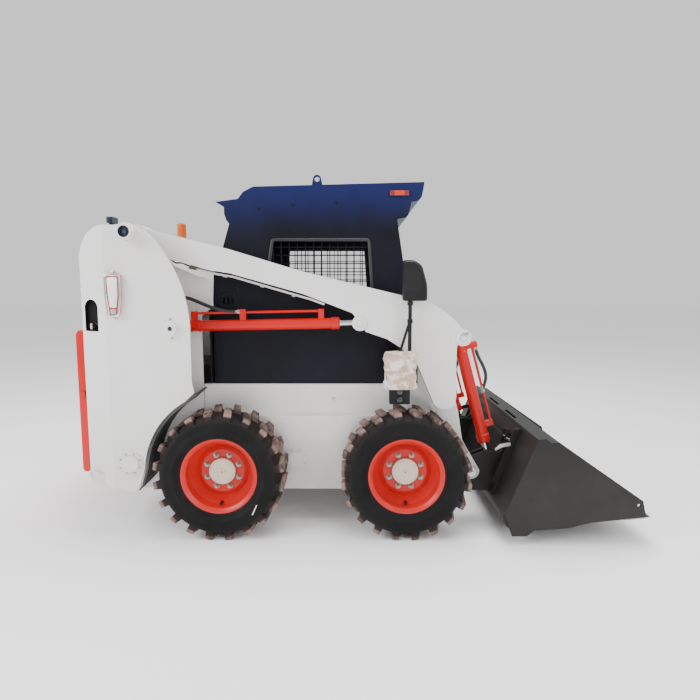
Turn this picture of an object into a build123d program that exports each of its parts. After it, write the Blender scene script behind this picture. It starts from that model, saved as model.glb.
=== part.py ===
from build123d import *
import math
import os

os.makedirs("parts", exist_ok=True)

# Skid steer loader: white frame, black open cab, bucket on a radial lift boom.
# Millimetres. +X is forward, +Y is the machine's left, +Z is up.
# The origin is on the ground, at the middle of the length and of the width.
# The right side (-Y) is modelled, and the left side is its mirror image.

# Overall layout along the machine
TAIL_OVERHANG = 860      # rear axle to the tail door's outer face
WHEELBASE = 1085
TOE_REACH = 1386         # front axle to the bucket's cutting edge
LENGTH = TAIL_OVERHANG + WHEELBASE + TOE_REACH
RA = TAIL_OVERHANG - LENGTH / 2     # rear axle, along X
FA = RA + WHEELBASE                 # front axle, along X

# Wheels: 10-16.5 tyres on eight-bolt rims
AXLE_Z = 380             # lug tips touch the ground
TYRE_W = 264
WHEEL_Y = 668            # middle of each tyre
CARCASS_R = 352
LUG_H = AXLE_Z - CARCASS_R
LUGS = 20                # in each of the two staggered rows
LUG_ROOT_W = 54          # along the tread
LUG_TIP_W = 42
LUG_SLANT = 24           # how far a lug shifts along the tread, from shoulder to middle
LUG_OVERLAP = 12         # each row passes the middle of the tread by this
RIM_R = 222
RIM_WELL_R = 170
SEAT_R = 208             # where the tyre's bead sits on the rim
FLANGE_W = 12
BEAD_GAP = 1
RIM_W = 226
DISC_IN = 112            # rim flange's outer edge to the disc's outer face
DISC_T = 12
HUB_CAP_R = 76
HUB_CAP_OUT = 22
AXLE_R = 38
AXLE_HOUSING_R = 75
AXLE_HOUSING_OUT = 60
RUN_GAP = 0.5            # radial clearance of pins, rods and axles

# Frame
CASE_Y = 515             # outer face of the chain case beside the tyres
CASE_T = 150
CASE_TOP = 675
BELLY_Z = 210
CASE_FRONT = 197         # ahead of the front axle
CASE_REAR = 400          # behind the rear axle
PANEL_Y = 475            # outer face of the upper side panel
PANEL_T = 12
PANEL_TOP = 868
PLATE_T = 10
STUB_IN = 200            # stub axle, from the disc inward
BORE_IN = 60             # depth of its bore in the chain case

# Towers that carry the boom
TOWER_Y = 760            # outer face of the outer plate
INNER_Y = 495            # outer face of the inner plate
INNER_FRONT = -148       # inner plate's front edge, from the rear axle
SHELL_FRONT = -545       # front edge of the top and bottom walls, from the rear axle
CHAMFER_FRONT = -613     # where the slanted rear corner starts, from the rear axle
CHAMFER_IN = 110         # how far the corner is cut back, across
TOWER_REAR = TAIL_OVERHANG - 60     # rearmost, behind the rear axle
SHELL = TOWER_REAR + SHELL_FRONT    # depth of the top wall along the machine
TOWER_TOP = 1808
# The rounded top rear corner, from the rear axle: where it starts, and a point on it
ROUND_START = SHELL_FRONT - 0.4 * SHELL
ROUND_VIA = 0.17 * SHELL - TOWER_REAR
PIVOT = (RA - 470, 1767)         # boom pivot pin, X and Z
LIFT_BASE = (RA - 248, 1235)     # lift cylinder's base pin
PIVOT_PIN_R = 25
PIVOT_BOSS_R = 46
PIVOT_BOSS_OUT = 58
BASE_PIN_R = 20
BASE_BOSS_R = 36
TIE_HOLE = (RA - TOWER_REAR + 48, 372)
TIE_HOLE_R = 15
TIE_Y = 714              # middle of the tie-down plate's thickness
TIE_T = 16
RECESS_X = (24, 126)     # pocket in the slanted corner, from the tower's rear
RECESS_Z = (1214, 1346)  # its foot, and where its rounded head starts
RECESS_BACK = 638        # its back face

# Tail door
DOOR_Y = 620
DOOR_REAR = RA - TAIL_OVERHANG
DOOR_T = 46
DOOR_PIN = (DOOR_REAR + 22, 640)
HINGE_ZS = (500, 1050)
HINGE_PIN_R = 10

# Boom
ARM_OUT = 625            # outer face of each arm
ARM_W = 110
ARM_WALL = 10
DOUBLER_T = 6            # thicker skin on the arm's front part
HUB_R = 58               # arm's hub round the pivot pin
TIP_T = 25
KNEE_PIN = (FA + 337, 1171)      # top pin of the tilt cylinder
LIFT_EYE = (FA - 269.5, 1256)    # lift rod's eye
TIP = (FA + 430, 324)            # hitch pivot
KNEE_PIN_R = 18
KNEE_BOSS_R = 46
EYE_BOSS_R = 41
TIP_PIN_R = 20
TUBE_R = 57
REAR_TUBE = (RA - 218, 1686)
FRONT_TUBE = (FA + 240, 905)

# Cylinders
LIFT_Y = 570
TILT_Y = 445
EYE_R = 34
EYE_W = 40
EAR_GAP = 5              # between an ear and the eye that turns beside it
GLAND = 50               # barrel's closed end round the rod
PORT_BACK = 110          # barrel's mouth to its front port
ROD_HELD = 60            # rod left inside the barrel at full length

# Hitch and bucket
EAR_T = 15
EAR_R = 88
ROD_EYE = (FA + 547, 406)        # tilt rod's eye on the hitch
HITCH_Y = 560
HITCH_GAP = 0            # hitch plate to the bucket's back, which rests on it
SHELF_UP = 350           # hitch plate's level shelf, from the bucket's lower corner
SHELF_OUT = 46
BACK_LOW = (FA + 556, 179)       # bucket's back, lower and upper corners
BACK_HIGH = (FA + 730, 617)
BUCKET_Y = 840
BUCKET_T = 12
TOOTH_HOLE = (FA + TOE_REACH - 71, 235)
TOOTH_HOLE_R = 9
LIP_SLOTS = (742, 779)   # slots across the bucket's top lip, from the front axle
LIP_SLOT_W = 18
LIP_SLOT_Y = (95, 335)

# Cab
CAB_REAR = RA - 88       # foot of the rear wall
CAB_Y = 450
CAB_T = 30
WINDOW_TOP = 1752
SCREEN_PITCH = 50
SCREEN_WIRE = 6
BAR_PIVOT = (CAB_REAR + 273, 1500)      # seat bar's hinge
BAR_FRONT = (CAB_REAR + 743, 1190)
BAR_R = 14
BAR_Y = 388
EYE_PLATE = (FA - 526, 2112)     # lifting eye on each side of the roof
EYE_PLATE_R = 26
EYE_HOLE_R = 15
LAMP_Y = 650             # inner face of the lamps outboard of the arms


def plate(steps, y0, y1):
    """A flat plate between y0 and y1. A step is (x, z), a straight run there,
    or (via_x, via_z, x, z), an arc through the first point to the second."""
    edges = []
    for here, step in zip(steps, steps[1:] + steps[:1]):
        a = (here[-2], y0, here[-1])
        b = (step[-2], y0, step[-1])
        if len(step) == 4 and step is not steps[0]:
            edges.append(ThreePointArc(a, (step[0], y0, step[1]), b))
        elif a != b:
            edges.append(Line(a, b))
    return extrude(Face(Wire(edges)), y1 - y0, dir=(0, 1, 0))


def at(x, steps):
    """An outline measured from x, moved to its place along the machine."""
    return [tuple(v + (x if i % 2 == 0 else 0) for i, v in enumerate(s)) for s in steps]


def rod(x, z, y0, y1, r):
    """A round bar along Y."""
    return Pos(x, (y0 + y1) / 2, z) * Rot(90, 0, 0) * Cylinder(r, abs(y1 - y0))


def box(x0, x1, y0, y1, z0, z1):
    """A block between corner values."""
    return Pos((x0 + x1) / 2, (y0 + y1) / 2, (z0 + z1) / 2) * Box(x1 - x0, y1 - y0, z1 - z0)


def bar(p, q, r):
    """A round bar between two points."""
    p, q = Vector(*p), Vector(*q)
    return extrude(Plane(p, z_dir=q - p) * Circle(r), (q - p).length)


def left(shape):
    return mirror(shape, about=Plane.XZ)


def both(shape):
    return [shape, left(shape)]


def save(name, *shapes):
    solids = [s for shape in shapes for s in shape.solids()]
    export_step(solids[0] if len(solids) == 1 else Compound(solids), f"parts/{name}.step")


# Wheels
def tyre():
    """Carcass of flat-faced wedges about an axle along Z, with two staggered rows of slanted lugs. Its
    outer side is at -Z. One corner of a lug points straight down once the wheel is in place."""
    half = TYRE_W / 2
    seat = RIM_W / 2 - FLANGE_W
    turn = 180 / LUGS            # degrees of one wedge
    # radius and distance from the middle: bead, lower and upper sidewall, edge of the crown
    near = [(RIM_WELL_R, seat), (RIM_R + BEAD_GAP, seat), (RIM_R + 42, half - 2)]
    far = [(CARCASS_R - 28, half - 4), (CARCASS_R, half - 40)]
    outline = [(r, -z) for r, z in near + far] + [(r, z) for r, z in reversed(near[:2] + far)]
    wide = AXLE_Z * math.tan(math.radians(turn / 2))
    slab = extrude(make_face(Plane.XZ * Polyline(*outline, close=True)), wide, both=True)
    slice_of = make_face(Polyline((0, 0), (AXLE_Z, -wide), (AXLE_Z, wide), close=True))
    wedge = slab & extrude(slice_of, half, both=True)
    pieces = [Rot(0, 0, k * turn) * wedge for k in range(2 * LUGS)]
    root, start, lean = CARCASS_R - 29, half - 6, LUG_SLANT / 2
    corner = LUG_TIP_W / 2 + lean
    tip = math.sqrt(AXLE_Z ** 2 - corner ** 2)
    shift = math.degrees(math.asin(lean / CARCASS_R))      # so that the rows interlock at the middle
    for row, side in enumerate((1, -1)):
        end = [(root, -side * lean - LUG_ROOT_W / 2), (root, -side * lean + LUG_ROOT_W / 2),
               (tip, -side * lean + LUG_TIP_W / 2), (tip, -side * lean - LUG_TIP_W / 2)]
        run = Vector(0, side * LUG_SLANT, -side * (start + LUG_OVERLAP))
        lug = extrude(Pos(0, 0, side * start) * make_face(Polyline(*end, close=True)), run.length, dir=run)
        pieces += [Rot(0, 0, (2 * k + row) * turn - side * shift) * lug for k in range(LUGS)]
    body = pieces[0].fuse(*pieces[1:])
    body -= extrude(RegularPolygon(SEAT_R, LUGS // 2, major_radius=False), half, both=True)
    return Rot(0, 0, shift - math.degrees(math.atan2(corner, tip))) * body


def rim():
    """Dished disc wheel with its hub cap and stub axle. The outer side is at -Z."""
    h = RIM_W / 2
    seat = h - FLANGE_W
    disc = -h + DISC_IN
    profile = [(RIM_R, -h), (RIM_R, -seat), (SEAT_R, -seat), (SEAT_R, -seat + 30), (RIM_WELL_R + 8, disc - 20),
               (RIM_WELL_R + 8, disc + 40), (SEAT_R, seat - 20), (SEAT_R, seat), (RIM_R, seat), (RIM_R, h),
               (RIM_R - 10, h), (RIM_R - 26, h - 16), (RIM_R - 32, h - 38), (RIM_WELL_R - 4, disc + 44),
               (RIM_WELL_R - 4, disc + DISC_T + 16), (130, disc + DISC_T), (AXLE_R, disc + DISC_T), (AXLE_R, disc + STUB_IN),
               (0, disc + STUB_IN), (0, disc - HUB_CAP_OUT), (HUB_CAP_R - 4, disc - HUB_CAP_OUT), (HUB_CAP_R, disc - HUB_CAP_OUT + 4),
               (HUB_CAP_R, disc), (128, disc), (RIM_WELL_R - 16, disc + 12), (RIM_R - 34, -h + 62), (RIM_R - 26, -h + 14), (RIM_R - 10, -h)]
    return revolve(make_face(Plane.XZ * Polyline(*profile, close=True)), Axis.Z)


def wheels():
    tire, disc = tyre(), rim()
    for name, x, side in (("front_right", FA, -1), ("front_left", FA, 1), ("rear_right", RA, -1), ("rear_left", RA, 1)):
        place = Pos(x, side * WHEEL_Y, AXLE_Z) * Rot(90 * side, 0, 0)
        save(f"tyre_{name}", place * tire)
        save(f"rim_{name}", place * disc)


# Frame
def chassis():
    """Chain cases, belly, cross plates and upper side panels, welded into one frame."""
    x0, x1 = RA - CASE_REAR, FA + CASE_FRONT
    tail = RA - TOWER_REAR + 30
    inside = CASE_Y - CASE_T
    wall = INNER_Y - PLATE_T
    frame = box(tail, x1, -inside, inside, BELLY_Z, BELLY_Z + PLATE_T)
    frame += box(tail, x0, -wall, wall, BELLY_Z, BELLY_Z + PLATE_T)
    frame += box(x1 - PLATE_T, x1, -inside, inside, BELLY_Z + 90, 440)
    case = plate([(x0, BELLY_Z), (x1 - 60, BELLY_Z), (x1, BELLY_Z + 90), (x1, CASE_TOP), (x0, CASE_TOP)],
                 -CASE_Y, -inside)
    panel = plate([(RA + INNER_FRONT, CASE_TOP), (x1, CASE_TOP), (x1, CASE_TOP + 15), (FA + 91, PANEL_TOP),
                   (RA + INNER_FRONT, PANEL_TOP)], -PANEL_Y, -PANEL_Y + PANEL_T)
    ledge = box(RA + INNER_FRONT, FA + 91, -PANEL_Y + PANEL_T, -CAB_Y + CAB_T - 15, PANEL_TOP - PLATE_T, PANEL_TOP)
    part = case + panel + ledge
    for x in (RA, FA):
        part += rod(x, AXLE_Z, -CASE_Y - AXLE_HOUSING_OUT, -CASE_Y, AXLE_HOUSING_R)
        part -= rod(x, AXLE_Z, -CASE_Y - AXLE_HOUSING_OUT, -CASE_Y + BORE_IN, AXLE_R + RUN_GAP)
    return frame + part + left(part)


def tower_block(inset, front):
    """The tower's side outline as a block, its rear outer corner cut off at a slant."""
    rear = RA - TOWER_REAR + inset
    side = [(RA + front, 300 + inset), (RA + front, TOWER_TOP - inset), (RA + ROUND_START, TOWER_TOP - inset),
            (RA + ROUND_VIA + 0.7 * inset, 1741 - 0.7 * inset, rear, 1580), (rear, 300 + inset)]
    block = plate(side, -TOWER_Y + inset, -INNER_Y)
    along = Vector(-TOWER_REAR - CHAMFER_FRONT, CHAMFER_IN).normalized()
    out = Vector(-along.Y, along.X)
    start = Vector(RA + CHAMFER_FRONT, -TOWER_Y) - out * inset
    corners = [start - along * 300, start + along * 600, start + along * 600 + out * 400,
               start - along * 300 + out * 400]
    return block - extrude(Pos(0, 0, 250) * make_face(Polyline(*corners, close=True)), TOWER_TOP)


def tower():
    """Right tower: outer and inner plates joined by the rear corner, top and bottom, open in front."""
    outer = plate(at(RA, [(-580, 300), (-520, 278), (-484, 288), (-464, 317), (-432, 420), (-346, 668, -186, 815),
                          (-132, 867), (-143, 931), (-143, 1238), (-194, 1500, -301, 1696),
                          (-365, 1768, -446, TOWER_TOP), (-580, TOWER_TOP)]), -TOWER_Y, -TOWER_Y + PLATE_T)
    inner = plate(at(RA, [(30 - TOWER_REAR, BELLY_Z), (-CASE_REAR, BELLY_Z), (-CASE_REAR, CASE_TOP), (INNER_FRONT, CASE_TOP),
                          (INNER_FRONT, 1290), (-89, 1340), (-89, 1450), (-100, 1510, -150, 1528), (-302, 1594),
                          (-390, 1700), (-446, TOWER_TOP), (ROUND_START, TOWER_TOP), (ROUND_VIA, 1741, -TOWER_REAR, 1580),
                          (-TOWER_REAR, 300), (30 - TOWER_REAR, 300)]), -INNER_Y, -INNER_Y + PLATE_T)
    body = tower_block(0, SHELL_FRONT) - tower_block(PLATE_T, SHELL_FRONT + 50) + outer + inner
    (px, pz), (bx, bz) = PIVOT, LIFT_BASE
    hub = ARM_OUT + DOUBLER_T + 15
    body += rod(px, pz, -TOWER_Y - PIVOT_BOSS_OUT, -TOWER_Y, PIVOT_BOSS_R)
    body -= rod(px, pz, -TOWER_Y - PIVOT_BOSS_OUT, -TOWER_Y - PIVOT_BOSS_OUT + 30, PIVOT_BOSS_R - 14)
    body += rod(px, pz, -TOWER_Y, -INNER_Y, PIVOT_PIN_R)
    body += rod(px, pz, -TOWER_Y, -hub - 10, PIVOT_BOSS_R)
    body += rod(bx, bz, -TOWER_Y - 24, -TOWER_Y, BASE_BOSS_R) - rod(bx, bz, -TOWER_Y - 24, -TOWER_Y - 14, 13)
    body += rod(bx, bz, -TOWER_Y, -INNER_Y, BASE_PIN_R)
    body += rod(bx, bz, -TOWER_Y, -LIFT_Y - EYE_W / 2 - EAR_GAP, BASE_BOSS_R)
    body += rod(bx, bz, -LIFT_Y + EYE_W / 2 + EAR_GAP, -INNER_Y, BASE_BOSS_R)
    hx, hz = TIE_HOLE
    loop = plate(at(hx, [(84, hz - 70), (52, hz - 74), (-18, hz - 22), (-30, hz, -4, hz + 28), (84, hz - 14)]),
                 -TIE_Y - TIE_T / 2, -TIE_Y + TIE_T / 2)
    body += loop - rod(hx, hz, -TIE_Y - TIE_T, -TIE_Y + TIE_T, TIE_HOLE_R)
    pocket = tower_block(0, SHELL_FRONT) & plate(recess(PLATE_T), -TOWER_Y, -RECESS_BACK + PLATE_T)
    body += pocket
    body -= plate(recess(0), -TOWER_Y, -RECESS_BACK)
    kx = RA - TOWER_REAR + 68
    return body + rod(kx, RECESS_Z[0] + 28, -RECESS_BACK - 26, -RECESS_BACK, 17)


def recess(grown):
    """Outline of the pocket for the battery switch: straight sides under a round head."""
    (x0, x1), (z0, z1) = RECESS_X, RECESS_Z
    mid = (x0 + x1) / 2
    return at(RA - TOWER_REAR, [(x0 - grown, z0 - grown), (x1 + grown, z0 - grown), (x1 + grown, z1),
                                (mid, z1 + mid - x0 + grown, x0 - grown, z1)])


def hinge_lugs():
    """Plates and pins behind the left tower that carry the tail door."""
    px, py = DOOR_PIN
    lugs = None
    for z in HINGE_ZS:
        piece = Pos(px, py, z) * Cylinder(HINGE_PIN_R, 90)
        for up in (-1, 1):
            arm = box(px, RA - TOWER_REAR, py - 12, py + 8, z - 5, z + 5) + Pos(px, py, z) * Cylinder(14, 10)
            piece += Pos(0, 0, up * 40) * arm
        lugs = piece if lugs is None else lugs + piece
    return lugs


def fender_liner():
    """Rubber sheet that follows the wheel arch, from the outer plate in to the chain case."""
    steps = [(-126, 862), (-190, 806), (-340, 664, -424, 422), (-455, 318), (-476, 290), (-470, 284),
             (-446, 312), (-414, 418), (-331, 658, -184, 797), (-120, 853)]
    return plate(at(RA, steps), -TOWER_Y + PLATE_T, -CASE_Y)


def engine_cover():
    """Hood over the engine bay, with rows of louvre slots across it."""
    wall = INNER_Y - PLATE_T
    x0, x1 = RA - TOWER_REAR + 30, RA - 96
    t = 8
    hood = plate([(x0, 1110), (x0, 1222), (x0 + 30, 1250), (x1, 1330), (x1, PANEL_TOP + 12), (x1 - t, PANEL_TOP + 12),
                  (x1 - t, 1330 - 1.1 * t), (x0 + 30 + t / 2, 1250 - t), (x0 + t, 1222 - t / 2), (x0 + t, 1110)],
                 -wall, wall)
    for k in range(9):
        x = x0 + 110 + 44 * k
        for y in (-300, 0, 300):
            hood -= box(x, x + 18, y - 120, y + 120, 1200, 1340)
    return hood


def save_frame():
    save("chassis_frame", chassis())
    shape = tower()
    save("tower_right", shape)
    save("tower_left", left(shape) + hinge_lugs())
    save("fender_liners", *both(fender_liner()))
    save("engine_cover", engine_cover())
    floor = BELLY_Z + PLATE_T
    save("engine_block", box(RA - TOWER_REAR + 110, RA - 150, -260, 260, floor, 960))


# Tail door, and what hangs on the outside
def tail_door():
    """Louvred door with its rim turned forward, a latch on its right edge and knuckles on its left."""
    x0, x1 = DOOR_REAR, DOOR_REAR + DOOR_T
    door = plate([(x0, 372), (x0 + 12, 355), (x1, 355), (x1, 1213), (x0 + 16, 1213), (x0, 1190)], -DOOR_Y, DOOR_Y)
    door -= box(x0 + 10, x1, -DOOR_Y + 30, DOOR_Y - 30, 390, 1180)
    for k in range(10):
        z = 560 + 52 * k
        door -= box(x0, x0 + 10, -330, 330, z, z + 24)
    door += rod(x0 + 24, 833, -DOOR_Y - 12, -DOOR_Y, 19)
    px, py = DOOR_PIN
    for z in HINGE_ZS:
        knuckle = box(px - 12, px + 12, DOOR_Y, py, z - 29, z + 29) + Pos(px, py, z) * Cylinder(17, 58)
        door += knuckle - Pos(px, py, z) * Cylinder(HINGE_PIN_R + RUN_GAP, 70)
    return door


def front_lamp():
    """Lamp and its lower block, on a bracket that passes under the arm from the side panel."""
    block = box(FA - 98, FA + 19, -LAMP_Y - 70, -LAMP_Y, 793, 891)
    block += box(FA - 60, FA - 5, -LAMP_Y, -PANEL_Y, 800, 856)
    block += plate(at(FA, [(-118, 905), (-104, 891), (34, 891), (46, 903), (46, 1070), (30, 1088), (-96, 1088),
                           (-118, 1068)]), -LAMP_Y - 70, -LAMP_Y)
    return block


def front_mirror():
    """Mirror housing with a rounded rear side, on a braced pole above the lamp."""
    y = -LAMP_Y - 35
    pole = bar((FA + 18, y, 1088), (FA + 18, y, 1497), 11)
    brace = bar((FA - 38, y, 1092), (FA + 16, y, 1270), 8) + box(FA - 54, FA + 32, y - 16, y + 16, 1088, 1096)
    case = plate(at(FA, [(-26, 1410), (-8, 1388), (96, 1388), (114, 1406), (114, 1602), (96, 1620), (60, 1620),
                         (-10, 1580, -26, 1500)]), y - 30, y + 30)
    return pole + brace + case


def save_outside():
    save("tail_door", tail_door())
    covers = []
    for y, x, z in ((-TOWER_Y, RA - 513, 451), (-CASE_Y, RA + 0.388 * WHEELBASE, 402)):
        covers += both(rod(x, z, y - 8, y, 72) + rod(x, z, y - 18, y, 50))
    save("round_covers", *covers)
    lamp = plate(at(RA, [(-598, 1533), (-518, 1533), (-518, 1420), (-532, 1307), (-584, 1307), (-598, 1420)]),
                 -TOWER_Y - 24, -TOWER_Y)
    save("tail_lamps", *both(lamp))
    work = box(RA - 598, RA - 560, -TOWER_Y + 20, -TOWER_Y + 105, TOWER_TOP + 12, TOWER_TOP + 50)
    save("work_lamp", work + box(RA - 588, RA - 570, -TOWER_Y + 50, -TOWER_Y + 75, TOWER_TOP, TOWER_TOP + 12))
    base = Pos(RA - 598, 640, TOWER_TOP + 20) * Cylinder(40, 40)
    save("beacon", base + Pos(RA - 598, 640, TOWER_TOP + 105) * Cylinder(36, 130))
    save("front_lamps", *both(front_lamp()))
    save("mirrors", *both(front_mirror()))


# Boom
def boom_arm():
    """Right arm: a box section, with a plate tip that carries the hitch."""
    (px, pz), (kx, kz), (ex, ez), (tx, tz) = PIVOT, KNEE_PIN, LIFT_EYE, TIP
    front = [(122, 1384), (232, 1322, 336, 1217), (302, 1123), (299, 1034), (304, 824), (298, 776),
             (236, 745, 173, 775), (74.5, 1004), (9.5, 1081), (-38, 1118), (-109.5, 1164), (-233.5, 1206),
             (-313.5, 1316), (-603.5, 1428)]
    hub = [(-20, pz - 67), (-66, pz - 15, -30, pz + 51), (36, pz + 39)]
    steps = at(FA, [(-617, 1560)] + front) + at(RA, [(61, 1546), (-34.5, 1561), (-287.5, 1626)])
    steps += at(px, hub) + at(RA, [(65, 1682)])
    y0, y1 = -ARM_OUT, -ARM_OUT + ARM_W
    arm = plate(steps, y0, y1)
    arm += plate(at(FA, [(-560, 1546)] + front + [(-640, 1438), (-590, 1490, -560, 1546)]), y0 - DOUBLER_T, y0)
    arm += rod(ex, ez, y0 - DOUBLER_T - 8, y1, EYE_BOSS_R)
    arm -= box(ex - 75, ex + 47, y0 + ARM_WALL, y1 - ARM_WALL, ez - 180, ez + 56)
    arm += rod(kx, kz, y0 - DOUBLER_T - 8, y1, KNEE_BOSS_R)
    arm += rod(px, pz, y0 - DOUBLER_T - 15, y1 + 10, HUB_R)
    arm -= rod(px, pz, y0 - 60, y1 + 60, PIVOT_PIN_R + RUN_GAP)
    arm += rod(kx, kz, y1, -TILT_Y + EYE_W / 2 + 6, KNEE_PIN_R)
    tip = plate(at(FA, [(120, 1000), (292, 1000), (300, 850), (339, 709), (368, 525), (479, 334), (449, 278, 390, 294),
                        (225, 640), (190, 760)]), y1, y1 + TIP_T)
    return arm + (tip - rod(tx, tz, y1, y1 + TIP_T, TIP_PIN_R + RUN_GAP))


def save_boom():
    arm = boom_arm()
    save("boom_arm_right", arm)
    save("boom_arm_left", left(arm))
    inner = ARM_OUT - ARM_W
    (x, z), (u, w) = REAR_TUBE, FRONT_TUBE
    save("boom_tubes", rod(x, z, -inner, inner, TUBE_R), rod(u, w, TIP_T - inner, inner - TIP_T, TUBE_R))


# Cylinders
def along(x0, x1, z, r):
    """A round bar along a cylinder's own length, z above its middle."""
    return Pos((x0 + x1) / 2, 0, z) * Rot(0, 90, 0) * Cylinder(r, x1 - x0)


def cylinder(base, eye, y, tube_r, rod_r, pin_r, shown, travel, pipe_z):
    """Barrel and rod, drawn along X from the base pin and turned into place. shown is the rod's length
    outside the barrel at rest, to its eye, and travel its way out as a share of the pin to pin length."""
    (bx, bz), (ex, ez) = base, eye
    length = math.hypot(ex - bx, ez - bz)
    mouth = length - shown
    stroke = travel * length
    place = Pos(bx, y, bz) * Rot(0, -math.degrees(math.atan2(ez - bz, ex - bx)), 0)
    half = EYE_W / 2
    start = mouth - GLAND - stroke - ROD_HELD
    tube = along(EYE_R + 12, mouth, 0, tube_r) + rod(0, 0, -half, half, EYE_R)
    tube += box(0, EYE_R + 20, -half, half, -EYE_R + 10, EYE_R - 10)
    tube -= along(start - ROD_HELD, mouth - GLAND, 0, tube_r - 8) + along(start, mouth, 0, rod_r + RUN_GAP)
    tube -= rod(0, 0, -half, half, pin_r + RUN_GAP)
    for x in (EYE_R + 45, mouth - PORT_BACK):
        tube += box(x - 17, x + 17, -14, 14, tube_r - 4, pipe_z + 12)
    tube += along(EYE_R + 45, mouth - PORT_BACK, pipe_z, 8)
    shaft = along(start, length - EYE_R + 6, 0, rod_r) + rod(length, 0, -half, half, EYE_R)
    shaft += rod(length, 0, -half - 2, half + 2, pin_r)
    return place * tube, place * shaft


def save_cylinders():
    # name, base pin, rod pin, Y, barrel radius, rod radius, pin radius, rod shown, travel, pipe
    table = (("lift", LIFT_BASE, LIFT_EYE, -LIFT_Y, 33, 18, BASE_PIN_R, 118, 0.54, 75),
             ("tilt", KNEE_PIN, ROD_EYE, -TILT_Y, 36, 20, KNEE_PIN_R, 93, 0.21, 70))
    for name, *sizes in table:
        tube, shaft = cylinder(*sizes)
        save(f"{name}_barrel_right", tube)
        save(f"{name}_barrel_left", left(tube))
        save(f"{name}_rod_right", shaft)
        save(f"{name}_rod_left", left(shaft))


# Hitch and bucket
def behind(gap, up):
    """A point behind the bucket's back, gap away from it and up along it from its lower corner."""
    (x0, z0), (x1, z1) = BACK_LOW, BACK_HIGH
    run = Vector(x1 - x0, z1 - z0).normalized()
    return x0 + run.X * up - run.Y * gap, z0 + run.Y * up + run.X * gap


def hitch():
    """Quick hitch: a plate behind the bucket's back, flanged at its sides, with two pairs of ears."""
    (tx, tz), (rx, rz) = TIP, ROD_EYE
    outer, inner = HITCH_GAP + EAR_T, HITCH_GAP + EAR_T / 2
    face = plate([behind(HITCH_GAP, 8), behind(HITCH_GAP, 452), behind(outer, 452), behind(outer, 8)],
                 -HITCH_Y, HITCH_Y)
    flange = plate([behind(inner, 75), behind(inner, 452), behind(42, 440), behind(42, 85)], -HITCH_Y, -HITCH_Y + EAR_T)
    ear = [(tx + 10, tz + EAR_R), (tx - 62, tz + 62, tx - EAR_R, tz), (tx - 80, tz - 36, tx - 58, tz - 66),
           (tx - 38, 192), behind(inner, 8), behind(inner, 400), behind(58, 400), (rx + 84, rz + 48),
           (rx + 66, rz + 30), (rx - 30, rz + 38)]
    pairs = None
    far, near = TILT_Y + EYE_W / 2 + EAR_GAP, TILT_Y - EYE_W / 2 - EAR_GAP - EAR_T
    for y in (far, near):
        piece = plate(ear, -y - EAR_T, -y)
        pairs = piece if pairs is None else pairs + piece
    pin = rod(tx, tz, -far - EAR_T - EAR_GAP - TIP_T - 12, -far, TIP_PIN_R)
    lever = plate(at(FA, [(552, 478), (560, 462), (600, 486), (660, 496), (660, 524), (590, 512)]), -HITCH_Y, -HITCH_Y + 12)
    half = flange + pairs + pin + lever
    shelf = plate([behind(HITCH_GAP, SHELF_UP), behind(SHELF_OUT, SHELF_UP), behind(SHELF_OUT, SHELF_UP + 12),
                   behind(HITCH_GAP, SHELF_UP + 12)], -HITCH_Y, HITCH_Y)
    x, z = behind(SHELF_OUT, SHELF_UP)
    for y in (-HITCH_Y + 90, -HITCH_Y + 30):
        shelf -= Pos(x, y, z) * Cylinder(16, 60)
        shelf -= Pos(x, -y, z) * Cylinder(16, 60)
    return face + half + left(half) + shelf


def bucket():
    """Folded back, heel and floor between two side plates, with a folded lip at the top."""
    t = BUCKET_T
    toe = TOE_REACH
    heel = 724
    keel = toe - heel
    folded = at(FA, [(toe - 146, 146), (640, 88), (564, 112, 556, 179), (730, 617), (773, 622), (804, 598),
                     (846, 603), (846, 591), (803, 586), (770, 610), (738, 606), (568, 176), (575, 121, 641, 100),
                     (toe - 146, 158)])
    side = at(FA, [(730, 617), (773, 622), (804, 598), (846, 603), (toe - 49, 261), (toe - 29, 178), (toe - 6, 168),
                   (heel + 0.49 * keel, 132), (heel + 0.29 * keel, 99), (heel, 84), (686, 51), (600, 50), (556, 179)])
    cheek = plate(side, -BUCKET_Y, -BUCKET_Y + t) - rod(*TOOTH_HOLE, -BUCKET_Y, -BUCKET_Y + t, TOOTH_HOLE_R)
    shell = plate(folded, -BUCKET_Y + t, BUCKET_Y - t)
    y0, y1 = LIP_SLOT_Y
    for x in LIP_SLOTS:
        shell -= box(FA + x, FA + x + LIP_SLOT_W, -y1, -y0, 575, 640)
        shell -= box(FA + x, FA + x + LIP_SLOT_W, y0, y1, 575, 640)
    return shell + cheek + left(cheek)


def save_bucket():
    save("hitch", hitch())
    save("bucket", bucket())
    edge = at(FA + TOE_REACH, [(-146, 142), (-36, 152), (0, 164), (0, 168), (-46, 169), (-146, 160)])
    save("cutting_edge", plate(edge, -BUCKET_Y + BUCKET_T, BUCKET_Y - BUCKET_T))


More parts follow.
